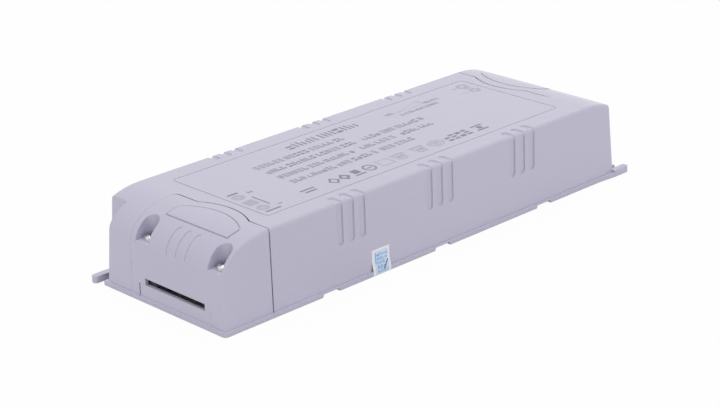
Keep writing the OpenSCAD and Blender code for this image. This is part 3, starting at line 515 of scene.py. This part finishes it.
# One entry for each finish of the record, with what a user may want to change
# On the case the rubbed edges carry a painted highlight, the dust in the grooves and past filledBeyond is
# painted light lightening their shade, and the grime is painted shade in the deep nooks
caseLook = {
    "color": (0.57, 0.552, 0.694),
    "grain": 2300.0, "clouds": 22.0, "drift": 0.012, "speck": 0.03, "edge": 0.45, "rubAndHighlight": 0.7,
    "rubAndHighlightColor": (0.82, 0.8, 0.93), "rough": (0.36, 0.5), "bump": 0.18, "depth": 0.03, "dustAndLight": 0.05,
    "grooveDustAndLight": 0.85, "dustAndLightColor": (0.88, 0.86, 1.0), "filledBeyond": (0.0, 28.5, 32.0),
    "specular": 0.4, "reach": 7.0, "paintedShade": 0.65, "gloss": (0.7, 1.0), "glossRough": 0.2,
}
labelFilmLook = {
    "color": (0.93, 0.93, 1.0),
    "grain": 1500.0, "clouds": 90.0, "drift": 0.02, "speck": 0.06, "edge": 0.05, "rubAndHighlight": 0.2,
    "rubAndHighlightColor": (0.9, 0.9, 0.9), "rough": (0.3, 0.45), "bump": 0.1, "depth": 0.01, "dustAndLight": 0.05,
}
insulatorLook = {
    "color": (0.66, 0.56, 0.3),
    "grain": 900.0, "clouds": 60.0, "drift": 0.06, "speck": 0.2, "edge": 0.05, "rubAndHighlight": 0.2,
    "rubAndHighlightColor": (0.75, 0.68, 0.45), "rough": (0.35, 0.55), "bump": 0.2, "depth": 0.02, "dustAndLight": 0.15,
}
blackPlasticLook = {
    "color": (0.02, 0.02, 0.022),
    "grain": 1900.0, "clouds": 70.0, "drift": 0.1, "speck": 0.1, "edge": 0.2, "rubAndHighlight": 0.5,
    "rubAndHighlightColor": (0.08, 0.08, 0.085), "rough": (0.35, 0.55), "bump": 0.25, "depth": 0.03, "dustAndLight": 0.15,
}
ceramicLook = {
    "color": (0.62, 0.6, 0.52),
    "grain": 1200.0, "clouds": 150.0, "drift": 0.05, "speck": 0.15, "edge": 0.2, "rubAndHighlight": 0.3,
    "rubAndHighlightColor": (0.7, 0.7, 0.68), "rough": (0.1, 0.25), "bump": 0.15, "depth": 0.02, "dustAndLight": 0.1,
}
blueDipLook = {
    "color": (0.03, 0.1, 0.35),
    "grain": 700.0, "clouds": 180.0, "drift": 0.12, "speck": 0.1, "edge": 0.3, "rubAndHighlight": 0.2,
    "rubAndHighlightColor": (0.1, 0.2, 0.45), "rough": (0.12, 0.28), "bump": 0.5, "depth": 0.06, "dustAndLight": 0.1,
}
yellowBoxLook = {
    "color": (0.68, 0.47, 0.07),
    "grain": 1600.0, "clouds": 80.0, "drift": 0.05, "speck": 0.08, "edge": 0.25, "rubAndHighlight": 0.4,
    "rubAndHighlightColor": (0.78, 0.62, 0.2), "rough": (0.35, 0.5), "bump": 0.25, "depth": 0.03, "dustAndLight": 0.15,
}
ferriteLook = {
    "color": (0.024, 0.024, 0.027),
    "grain": 1300.0, "clouds": 140.0, "drift": 0.2, "speck": 0.35, "edge": 0.35, "rubAndHighlight": 0.8,
    "rubAndHighlightColor": (0.1, 0.1, 0.11), "rough": (0.45, 0.75), "bump": 0.5, "depth": 0.05, "dustAndLight": 0.2,
}
redDipLook = {
    "color": (0.26, 0.02, 0.015),
    "grain": 800.0, "clouds": 160.0, "drift": 0.12, "speck": 0.1, "edge": 0.3, "rubAndHighlight": 0.2,
    "rubAndHighlightColor": (0.4, 0.08, 0.06), "rough": (0.12, 0.28), "bump": 0.5, "depth": 0.06, "dustAndLight": 0.1,
}
resistorLook = {
    "color": (0.52, 0.38, 0.2),
    "grain": 900.0, "clouds": 320.0, "drift": 0.15, "speck": 0.15, "edge": 0.2, "rubAndHighlight": 0.2,
    "rubAndHighlightColor": (0.6, 0.5, 0.35), "rough": (0.25, 0.4), "bump": 0.3, "depth": 0.04, "dustAndLight": 0.1,
}
sleeveLook = {
    "color": (0.011, 0.015, 0.05),
    "grain": 500.0, "clouds": 110.0, "drift": 0.15, "speck": 0.1, "edge": 0.3, "rubAndHighlight": 0.4,
    "rubAndHighlightColor": (0.3, 0.3, 0.32), "rough": (0.15, 0.32), "bump": 0.3, "depth": 0.05, "dustAndLight": 0.12,
}
# On the screws and the sink, grime is painted shade in their recesses
screwLook = {
    "color": (0.72, 0.72, 0.74), "stretch": (1.0, 1.0, 5.0), "scale": 700.0,
    "edge": 0.12, "rough": (0.18, 0.36), "bump": 0.15, "dustAndLight": 0.05, "reach": 1.2, "paintedShade": 0.9,
}
sinkLook = {
    "color": (0.7, 0.71, 0.72), "stretch": (0.15, 3.0, 3.0), "scale": 700.0,
    "edge": 0.15, "rough": (0.28, 0.5), "bump": 0.3, "dustAndLight": 0.12, "reach": 4.0, "paintedShade": 0.3,
}
copperLook = {"color": (0.5, 0.19, 0.06), "direction": "Z", "turns": 420.0, "rough": (0.2, 0.35)}
tapeLook = {"color": (0.72, 0.5, 0.04), "direction": "Z", "turns": 60.0, "rough": (0.15, 0.3)}
boardLook = {
    "color": (0.008, 0.1, 0.03), "trackColor": (0.03, 0.2, 0.06),
    "tracks": {
        "Scale": 90.0, "Mortar Size": 0.07, "Mortar Smooth": 0.1, "Brick Width": 0.9, "Row Height": 0.35,
    },
    "padScale": 260.0, "padSize": 0.22, "grain": 2200.0, "clouds": 90.0, "cloudShare": 0.3,
    "cloudTone": 0.7, "rough": (0.25, 0.4), "bump": 0.4, "depth": 0.05,
}

finishes = {
    "case_plastic": mouldedFinish("casePlastic", caseLook),
    "screw_steel": metalFinish("screwSteel", screwLook),
    "label_film": mouldedFinish("sealFilm", labelFilmLook),
    "sheet_film": mouldedFinish("insulatorFilm", insulatorLook),
    "board_green": boardFinish("boardLacquer", boardLook),
    "black_plastic": mouldedFinish("blackPlastic", blackPlasticLook),
    "glass_ceramic": mouldedFinish("fuseCeramic", ceramicLook),
    "blue_coating": mouldedFinish("blueDip", blueDipLook),
    "yellow_plastic": mouldedFinish("yellowBox", yellowBoxLook),
    "ferrite": mouldedFinish("ferriteGrey", ferriteLook),
    "copper_wire": woundFinish("copperTurns", copperLook),
    "red_plastic": mouldedFinish("redDip", redDipLook),
    "resistor_body": mouldedFinish("resistorLacquer", resistorLook),
    "can_sleeve": mouldedFinish("canSleeve", sleeveLook),
    "sink_aluminium": metalFinish("sinkAluminium", sinkLook),
    "tape_yellow": woundFinish("yellowTape", tapeLook),
}
print("finishes built:", len(finishes))


# Smooth shading across the small facets of the moulded curves, sharp at real edges
smoothing = {
    "weld": 0.002,  # mm
    "angle": 27.0,
    "weight": 100,
    "nodes": ("base_tray", "top_cover", "input_terminal_cover", "output_terminal_cover"),
}


def makeSmoothingGroup(look):
    group = bpy.data.node_groups.new("smoothFacets", "GeometryNodeTree")
    group.interface.new_socket("Geometry", in_out="INPUT", socket_type="NodeSocketGeometry")
    group.interface.new_socket("Geometry", in_out="OUTPUT", socket_type="NodeSocketGeometry")
    gin, gout = group.nodes.new("NodeGroupInput"), group.nodes.new("NodeGroupOutput")
    weld = addNode(group, "GeometryNodeMergeByDistance")
    weld.inputs["Distance"].default_value = look["weld"] * mm
    forget = addNode(group, "GeometryNodeRemoveAttribute")
    forget.inputs["Name"].default_value = "custom_normal"
    smoothFaces = addNode(group, "GeometryNodeSetShadeSmooth", domain="FACE")
    smoothEdges = addNode(group, "GeometryNodeSetShadeSmooth", domain="EDGE")
    sharpEdges = addNode(group, "GeometryNodeSetShadeSmooth", domain="EDGE")
    sharpEdges.inputs["Shade Smooth"].default_value = False
    chain = [gin, weld, forget, smoothFaces, smoothEdges, sharpEdges, gout]
    for before, after in zip(chain, chain[1:]):
        plug(group, before.outputs[0], after.inputs[0])
    edgeAngle = addNode(group, "GeometryNodeInputMeshEdgeAngle")
    bent = addNode(group, "FunctionNodeCompare", data_type="FLOAT", operation="GREATER_THAN")
    bent.inputs["B"].default_value = math.radians(look["angle"])
    plug(group, edgeAngle.outputs["Unsigned Angle"], bent.inputs["A"])
    plug(group, bent.outputs[0], sharpEdges.inputs["Selection"])
    return group


def smoothNode(thing, group, look):
    thing.modifiers.new("smoothFacets", "NODES").node_group = group
    weighted = thing.modifiers.new("evenNormals", "WEIGHTED_NORMAL")
    weighted.keep_sharp = True
    weighted.weight = look["weight"]


for part in record["subparts"]:
    thing = nodes[part["node"]]
    if not thing.material_slots:
        thing.data.materials.append(finishes[part["material_slot"]])
    for slot in thing.material_slots:
        slot.material = finishes[part["material_slot"]]
smoothFacets = makeSmoothingGroup(smoothing)
for name in smoothing["nodes"]:
    smoothNode(nodes[name], smoothFacets, smoothing)
print("nodes dressed")


# Everything printed lies on the case: a point (x, y) is dropped onto the solids from above
def treeOf(mesh):
    return BVHTree.FromPolygons([v.co for v in mesh.vertices], [p.vertices for p in mesh.polygons])


dropFrom = 60  # mm, well clear of the case
coverTrees = [treeOf(nodes[n].data) for n in ("top_cover", "input_terminal_cover", "output_terminal_cover")]


def dropOnTop(x, y):
    start = Vector((x * mm, y * mm, dropFrom * mm))
    hits = [tree.ray_cast(start, Vector((0, 0, -1))) for tree in coverTrees]
    top = max((h for h in hits if h[0] is not None), key=lambda h: h[0].z)
    return top[0], top[1]


# Outlines in millimetres; a shape is (outline, hole) with hole None where it is solid
cornerPoints = 4
leastCorner = 0.05
leastEdge = 0.001  # half of what stays straight between two round corners


def bar(x0, y0, x1, y1, r=0.0):
    r = min(r, (x1 - x0) / 2 - leastEdge, (y1 - y0) / 2 - leastEdge)
    if r <= 0:
        return [(x0, y0), (x1, y0), (x1, y1), (x0, y1)]
    middles = ((x1 - r, y0 + r), (x1 - r, y1 - r), (x0 + r, y1 - r), (x0 + r, y0 + r))
    points = []
    for (cx, cy), start in zip(middles, (-90, 0, 90, 180)):
        for k in range(cornerPoints):
            a = math.radians(start + 90 / (cornerPoints - 1) * k)
            points.append((cx + r * math.cos(a), cy + r * math.sin(a)))
    return points


def oval(cx, cy, rx, ry, count=32):
    turns = [2 * math.pi * k / count for k in range(count)]
    return [(cx + rx * math.cos(a), cy + ry * math.sin(a)) for a in turns]


def frameShape(x0, y0, x1, y1, line, r=0.4):
    return bar(x0, y0, x1, y1, r), bar(x0 + line, y0 + line, x1 - line, y1 - line, max(r - line, leastCorner))


def ringShape(cx, cy, rx, ry, line):
    return oval(cx, cy, rx, ry), oval(cx, cy, rx - line, ry - line)


def cutShape(points, share):
    cx = sum(p[0] for p in points) / len(points)
    cy = sum(p[1] for p in points) / len(points)
    return points, [(cx + (x - cx) * share, cy + (y - cy) * share) for x, y in points]


# A closed piece on the one body, with its faces turned outwards
def closedPiece(name, points, faces, material):
    mesh = bpy.data.meshes.new(name)
    mesh.from_pydata(points, [], faces)
    mesh.materials.append(material)
    fixer = bmesh.new()
    fixer.from_mesh(mesh)
    bmesh.ops.recalc_face_normals(fixer, faces=fixer.faces[:])
    fixer.to_mesh(mesh)
    fixer.free()
    piece = newObject(name, mesh)
    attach(piece, "root")
    return piece


# Thin closed patches that follow the surface under them, cut at the heights where it bends
cutSlack = 1e-6


def printedPiece(name, shapes, drop, material, slotName, lift=0.02, sink=0.02, cuts=()):
    bm = bmesh.new()
    for outline, hole in shapes:
        outer = [bm.verts.new((u, v, 0)) for u, v in outline]
        if hole is None:
            bm.faces.new(outer)
        else:
            inner = [bm.verts.new((u, v, 0)) for u, v in hole]
            count = len(outer)
            for k in range(count):
                bm.faces.new((outer[k], outer[(k + 1) % count], inner[(k + 1) % count], inner[k]))
    for height in cuts:
        everything = bm.verts[:] + bm.edges[:] + bm.faces[:]
        plane = {"plane_co": (0, height, 0), "plane_no": (0, 1, 0)}
        bmesh.ops.bisect_plane(bm, geom=everything, dist=cutSlack, **plane)
    bmesh.ops.triangulate(bm, faces=bm.faces[:])
    bm.verts.index_update()
    flat = [v.co.copy() for v in bm.verts]
    faces = [[v.index for v in f.verts] for f in bm.faces]
    border = [[v.index for v in e.verts] for e in bm.edges if len(e.link_faces) == 1]
    bm.free()
    upper, lower = [], []
    for p in flat:
        point, normal = drop(p.x, p.y)
        upper.append(point + normal * lift * mm)
        lower.append(point - normal * sink * mm)
    count = len(flat)
    polygons = faces + [[i + count for i in reversed(f)] for f in faces]
    polygons += [[a, b, b + count, a + count] for a, b in border]
    return closedPiece(name, upper + lower, polygons, material)


# A word is a row of plain signs made of short bars, so that a line reads as print from a distance
wordForm = {
    "signWidth": 0.75,  # share of the pitch that a sign fills
    "fullSigns": 0.8,  # share of the signs that are full height
    "lowSign": 0.72,
    "gap": 0.32,  # share of the pitch between words
    "shortest": 3,
    "longest": 6,
    "corner": 0.15,  # share of the line
    "stepGap": 1.6,  # lines
    "stepHeight": 0.4,
    "blockHeight": 0.36,
    "slack": 0.01,  # mm over the row's end
}
inkLook = {
    "color": (0.275, 0.262, 0.345),
    "grain": 1800.0, "clouds": 260.0, "drift": 0.06, "speck": 0.12, "edge": 0.02, "rubAndHighlight": 0.1,
    "rubAndHighlightColor": (0.4, 0.39, 0.46), "rough": (0.42, 0.6), "bump": 0.1, "depth": 0.01, "dustAndLight": 0.04,
}
faintLook = dict(inkLook, color=(0.5, 0.488, 0.605), rubAndHighlightColor=(0.54, 0.53, 0.64))
inkGrey = mouldedFinish("inkGrey", inkLook)
inkFaint = mouldedFinish("inkFaint", faintLook)


def barSign(kind, x, foot, wide, tall, line):
    right, top = x + wide, foot + tall
    if kind == "posts":
        boxes = [(x, foot, x + line, top), (right - line, foot, right, top)]
    elif kind == "tiers":
        middle = foot + (tall - line) / 2
        boxes = [(x, foot, right, foot + line), (x, middle, right, middle + line)]
        boxes.append((x, top - line, right, top))
    elif kind == "steps":
        step = (x + wordForm["stepGap"] * line, foot, right, foot + wordForm["stepHeight"] * tall)
        boxes = [(x, foot, x + line, top), step]
    else:
        block = wordForm["blockHeight"] * tall
        boxes = [(x, foot, right, foot + block), (x, top - block, right, top)]
    return [(bar(*box, wordForm["corner"] * line), None) for box in boxes]


def wordRow(x0, x1, foot, tall, pitch, line, dice, longest=wordForm["longest"]):
    shapes = []
    x = x0
    wide = pitch * wordForm["signWidth"]
    left = dice.randint(wordForm["shortest"], longest)
    while x + wide <= x1 + wordForm["slack"]:
        high = tall if dice.random() < wordForm["fullSigns"] else wordForm["lowSign"] * tall
        shapes += barSign(dice.choice(("posts", "tiers", "steps", "blocks")), x, foot, wide, high, line)
        left -= 1
        x += pitch
        if left == 0:
            x += pitch * wordForm["gap"]
            left = dice.randint(wordForm["shortest"], longest)
    return shapes


topPrint = {
    "seed": 7,
    "title": (-27.0, 14.2, 17.9, 5.0, 4.1, 0.86),  # from x, to x, foot y, height, pitch, line
    "titleLongest": 5,
    "rows": [  # from x, to x, foot y
        (-50.4, -3.4, 10.7), (-50.4, -3.6, 3.9), (-0.2, 34.4, 3.9),
        (-50.4, -10.9, -3.1), (-7.6, 11.5, -3.1), (14.3, 32.6, -3.1),
        (-50.4, -5.4, -10.1), (-3.5, 16.4, -10.1),
    ],
    "rowForm": (3.3, 2.45, 0.65),  # height, pitch, line
}


def buildTopPrint(look):
    dice = random.Random(look["seed"])
    shapes = wordRow(*look["title"], dice, look["titleLongest"])
    for row in look["rows"]:
        shapes += wordRow(*row, *look["rowForm"], dice)
    printedPiece("top_print", shapes, dropOnTop, inkGrey, "case_plastic")


# Row of plain marks under the text, dark ones and faint ones
markCorner = 0.15
markRow = {
    "seed": 11,
    "bars": [
        (-55.2, -18.9, -48.2, -17.9), (-54.6, -21.2, -48.8, -20.2),
        (-29.9, -22.4, -24.6, -21.4), (-28.9, -20.5, -25.6, -16.6), (-21.9, -19.7, -19.1, -18.9),
        (37.2, -22.4, 43.3, -21.3), (37.6, -17.7, 43.9, -16.7), (39.2, -20.7, 41.6, -18.3),
    ],
    "rings": [(-20.5, -19.3, 2.8, 3.2, 0.8)],
    "diamonds": [(-39.0, -19.4, 2.6, 3.2, 0.58), (-33.6, -19.4, 2.6, 3.2, 0.42)],
    "heavy": (21.2, 34.6, -22.3, 5.7, 3.5, 1.3),
    "faintRings": [(15.6, -19.4, 3.9, 3.3, 0.7), (15.6, -19.4, 2.6, 2.1, 0.6), (15.6, -19.4, 1.2, 1.0, 0.9)],
    "faintFrames": [(-15.6, -22.5, -9.0, -16.3, 0.7)],
    "buckets": [(-3.9, 3.6), (6.6, 3.6)],  # middle x and half width
    "bucketForm": (-22.6, -16.2, 0.5, 0.6),  # from y, to y, share of the width at the foot, share cut out
    "bucketMarks": [
        (-5.0, -20.4, -4.4, -18.4), (-3.5, -20.4, -2.9, -18.4),
        (5.6, -20.4, 6.2, -18.4), (7.1, -20.4, 7.7, -18.4),
    ],
}


def buildMarkRow(look):
    dice = random.Random(look["seed"])
    dark = [(bar(*box, markCorner), None) for box in look["bars"] + look["bucketMarks"]]
    dark += [ringShape(*ring) for ring in look["rings"]]
    for x, y, halfX, halfY, share in look["diamonds"]:
        dark.append(cutShape([(x - halfX, y), (x, y - halfY), (x + halfX, y), (x, y + halfY)], share))
    dark += wordRow(*look["heavy"], dice)
    printedPiece("top_marks", dark, dropOnTop, inkGrey, "case_plastic")
    faint = [ringShape(*ring) for ring in look["faintRings"]]
    faint += [frameShape(*box) for box in look["faintFrames"]]
    foot, top, narrow, share = look["bucketForm"]
    for middle, half in look["buckets"]:
        base = half * narrow
        corners = [(middle - half, top), (middle - base, foot), (middle + base, foot), (middle + half, top)]
        faint.append(cutShape(corners, share))
    printedPiece("top_faint_marks", faint, dropOnTop, inkFaint, "case_plastic")


# Small diagram of a ramp with a line of print under it
ramp = {
    "seed": 16,
    "rise": [(29.8, 17.6), (47.4, 22.6), (47.4, 17.6)],
    "share": 0.84,
    "words": [
        (25.6, 30.2, 17.6, 2.1, 1.5, 0.45), (47.9, 56.2, 17.2, 2.1, 1.5, 0.45),
        (30.4, 52.9, 13.5, 1.9, 1.35, 0.45),
    ],
}


def buildRamp(look):
    dice = random.Random(look["seed"])
    words = [shape for word in look["words"] for shape in wordRow(*word, dice)]
    printedPiece("ramp_words", words, dropOnTop, inkGrey, "case_plastic")
    printedPiece("ramp_lines", [cutShape(look["rise"], look["share"])], dropOnTop, inkFaint, "case_plastic")


# Plain signs beside the terminals: bars, and faint filled shapes with a small hole
terminalPrint = {
    "input": {
        "bars": [
            (-76.2, -2.2, -71.2, -1.0), (-70.7, -18.6, -70.0, -8.6), (-76.8, -24.3, -69.5, -23.3),
            (-68.6, -5.4, -68.0, -3.4), (-67.2, -5.4, -66.6, -3.4), (-68.6, -21.4, -66.6, -20.8),
        ],
        "rings": [(-74.3, -5.6, 2.7, 2.6, 1.9), (-74.5, -19.7, 2.7, 2.5, 1.9)],
        "frames": [(-77.0, -15.4, -72.0, -10.2, 2.2)],
        "ink": inkGrey,
    },
    "output": {
        "bars": [(67.2, 20.6, 69.6, 21.2), (67.2, 13.8, 69.6, 14.4)],
        "rings": [(73.2, 21.0, 2.9, 2.6, 1.6), (73.6, 13.9, 2.7, 2.4, 1.6)],
        "frames": [(71.6, 16.8, 75.2, 18.0, 0.5)],
        "ink": inkFaint,
    },
}


def buildTerminalPrint(side, look):
    bars = [(bar(*box, markCorner), None) for box in look["bars"]]
    printedPiece(side + "_print", bars, dropOnTop, look["ink"], "case_plastic")
    faint = [ringShape(*ring) for ring in look["rings"]] + [frameShape(*box) for box in look["frames"]]
    printedPiece(side + "_faint_print", faint, dropOnTop, inkFaint, "case_plastic")


buildTopPrint(topPrint)
buildMarkRow(markRow)
buildRamp(ramp)
for side, look in terminalPrint.items():
    buildTerminalPrint(side, look)
print("print laid on the case")


# The seal is a taut film from the cover's wall over the step to the face of the lip
sealFilm = {
    "thick": 0.12,
    "bridge": (1.75, 6.0),  # heights between which the film leaves the lip and meets the wall
    "rows": 26,
    "columns": 6,
    "lean": 0.007,  # slope of the wall
}


def buildSealFilm(look):
    low, high = (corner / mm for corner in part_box("seal_label"))
    z0, z1 = look["bridge"]
    heights = [low.z + (high.z - low.z) * k / look["rows"] for k in range(look["rows"] + 1)]
    inner = []
    for z in heights:
        wallY = high.y - (high.z - z) * look["lean"]
        lipY = low.y + look["thick"]
        t = min(max((z - z0) / (z1 - z0), 0), 1)
        inner.append(lipY + (wallY - lipY) * t * t * (3 - 2 * t))
    columns = [low.x + (high.x - low.x) * k / look["columns"] for k in range(look["columns"] + 1)]
    across = len(columns)
    points = [(x, y, z) for y, z in zip(inner, heights) for x in columns]
    points += [(x, y - look["thick"], z) for y, z in zip(inner, heights) for x in columns]
    half = across * len(heights)
    faces = []
    for r in range(len(heights) - 1):
        for c in range(across - 1):
            k = r * across + c
            faces.append((k, k + 1, k + across + 1, k + across))
            faces.append((k + half, k + half + across, k + half + across + 1, k + half + 1))
    rim = list(range(across)) + [r * across + across - 1 for r in range(1, len(heights))]
    rim += [half - 1 - c for c in range(1, across)] + [r * across for r in range(len(heights) - 2, 0, -1)]
    faces += [(a, a + half, b + half, b) for a, b in zip(rim, rim[1:] + rim[:1])]
    points = [tuple(v * mm for v in p) for p in points]
    film = closedPiece("seal_film", points, faces, finishes["label_film"])
    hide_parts("seal_label")
    return treeOf(film.data)


sealTree = buildSealFilm(sealFilm)


def dropOnSeal(x, z):
    hit = sealTree.ray_cast(Vector((x * mm, -dropFrom * mm, z * mm)), Vector((0, 1, 0)))
    return hit[0], hit[1]


# Plain blue pattern on the seal: rows of small signs, a dark edge and a slanted stroke
sealPrint = {
    "seed": 9,
    "margin": (1.25, 1.0, 1.05),  # left, right, top
    "foot": 0.35,
    "corner": 0.3,
    "rough": (0.3, 0.45),
    "field": (0.68, 0.82, 1.0),
    "marks": (0.2, 0.38, 0.8),
    "slate": (0.1, 0.13, 0.25),
    "rubTone": 1.3,
    "edgeBar": (0.45, 4.4, 0.85, 0.5),  # from x, foot, to x, below the top
    "rows": [0.8, 2.4, 4.0, 5.6, 7.2],
    "rowInset": (1.25, 0.2),  # left, right
    "sign": (1.1, 1.4, 0.28),  # height, pitch, line
    "longest": 4,
    "stroke": [(-3.0, 1.7), (-2.3, 1.7), (0.15, 4.9), (-0.45, 4.9)],  # x from the field's right edge, height
    "cuts": (1.7, 2.2, 2.7, 3.2, 3.7, 4.2, 4.7, 5.2, 5.7, 6.1),
    "fieldLift": (0.015, 0.02),  # over and under the film
    "marksLift": (0.03, 0.01),
    "strokeLift": (0.04, 0.01),
}


def sealInk(name, color, look):
    own = {"color": color, "rubAndHighlightColor": scaled(color, look["rubTone"]), "rough": look["rough"]}
    return mouldedFinish(name, {**inkLook, **own})


def buildSealPrint(look):
    low, high = (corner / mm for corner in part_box("seal_label"))
    left, right, top = look["margin"]
    x0, x1, z1 = low.x + left, high.x - right, high.z - top
    field = sealInk("sealBlue", look["field"], look)
    marks = sealInk("sealDeepBlue", look["marks"], look)
    slate = sealInk("sealSlate", look["slate"], look)
    cuts = look["cuts"]
    ground = [(bar(x0, look["foot"], x1, z1, look["corner"]), None)]
    printedPiece("seal_field", ground, dropOnSeal, field, "label_film", *look["fieldLift"], cuts)
    dice = random.Random(look["seed"])
    fromX, foot, toX, below = look["edgeBar"]
    signs = [(bar(x0 + fromX, foot, x0 + toX, z1 - below), None)]
    insetLeft, insetRight = look["rowInset"]
    for foot in look["rows"]:
        signs += wordRow(x0 + insetLeft, x1 - insetRight, foot, *look["sign"], dice, look["longest"])
    printedPiece("seal_marks", signs, dropOnSeal, marks, "label_film", *look["marksLift"], cuts)
    stroke = [(x1 + x, z) for x, z in look["stroke"]]
    printedPiece("seal_stroke", [(stroke, None)], dropOnSeal, slate, "label_film", *look["strokeLift"], cuts)


buildSealPrint(sealPrint)
print("seal film and its pattern laid over the lip")


# Studio: white sweep, even light from all round, a soft lamp overhead and a strip lamp on the near side
studio = {
    "floorSize": 6.0,
    "floorColor": (0.9, 0.9, 0.9),
    "floorRough": 0.9,
    "floorGlow": 0.96,
    "worldLevel": 0.745,
    "lamps": {  # power, length, width, place
        "softLamp": (0.7, 0.5, 0.5, (0.15, 0.1, 0.8)),
        "stripLamp": (0.22, 0.5, 0.1, (-0.2, -0.46, 0.64)),
    },
}
white = (1, 1, 1, 1)


def plainWhiteRays(tree):  # rays that see or mirror the surroundings, which are plain white to them
    path = addNode(tree, "ShaderNodeLightPath")
    seen = mathStep(tree, "MAXIMUM", path.outputs["Is Camera Ray"], path.outputs["Is Glossy Ray"])
    return mathStep(tree, "MAXIMUM", seen, path.outputs["Is Transmission Ray"])


def buildStudio(look):
    scene = bpy.context.scene
    scene.view_settings.view_transform = "Standard"
    world = bpy.data.worlds.new("studioLight")
    scene.world = world
    world.use_nodes = True
    tree = world.node_tree
    background = tree.nodes["Background"]
    background.inputs["Color"].default_value = white
    strength = mathStep(tree, "MAXIMUM", plainWhiteRays(tree), look["worldLevel"])
    plug(tree, strength, background.inputs["Strength"])

    mesh = bpy.data.meshes.new("floor")
    half = look["floorSize"] / 2
    corners = [(-half, -half, 0), (half, -half, 0), (half, half, 0), (-half, half, 0)]
    mesh.from_pydata(corners, [], [(0, 1, 2, 3)])
    floor = newObject("floor", mesh)
    material, tree, shader = newMaterial("paleFloor")
    shader.inputs["Base Color"].default_value = (*look["floorColor"], 1)
    shader.inputs["Roughness"].default_value = look["floorRough"]
    glow = addNode(tree, "ShaderNodeEmission")
    glow.inputs["Color"].default_value = white
    blend = addNode(tree, "ShaderNodeMixShader")
    plug(tree, mathStep(tree, "MULTIPLY", plainWhiteRays(tree), look["floorGlow"]), blend.inputs[0])
    plug(tree, shader.outputs[0], blend.inputs[1])
    plug(tree, glow.outputs[0], blend.inputs[2])
    plug(tree, blend.outputs[0], tree.nodes["Material Output"].inputs["Surface"])
    mesh.materials.append(material)

    for name, (power, length, width, place) in look["lamps"].items():
        lamp = bpy.data.lights.new(name, "AREA")
        lamp.energy = power
        lamp.shape = "RECTANGLE"
        lamp.size = length
        lamp.size_y = width
        holder = newObject(name, lamp)
        holder.location = place
        holder.rotation_euler = (-Vector(place)).to_track_quat("-Z", "Y").to_euler()


buildStudio(studio)
print("studio lit")
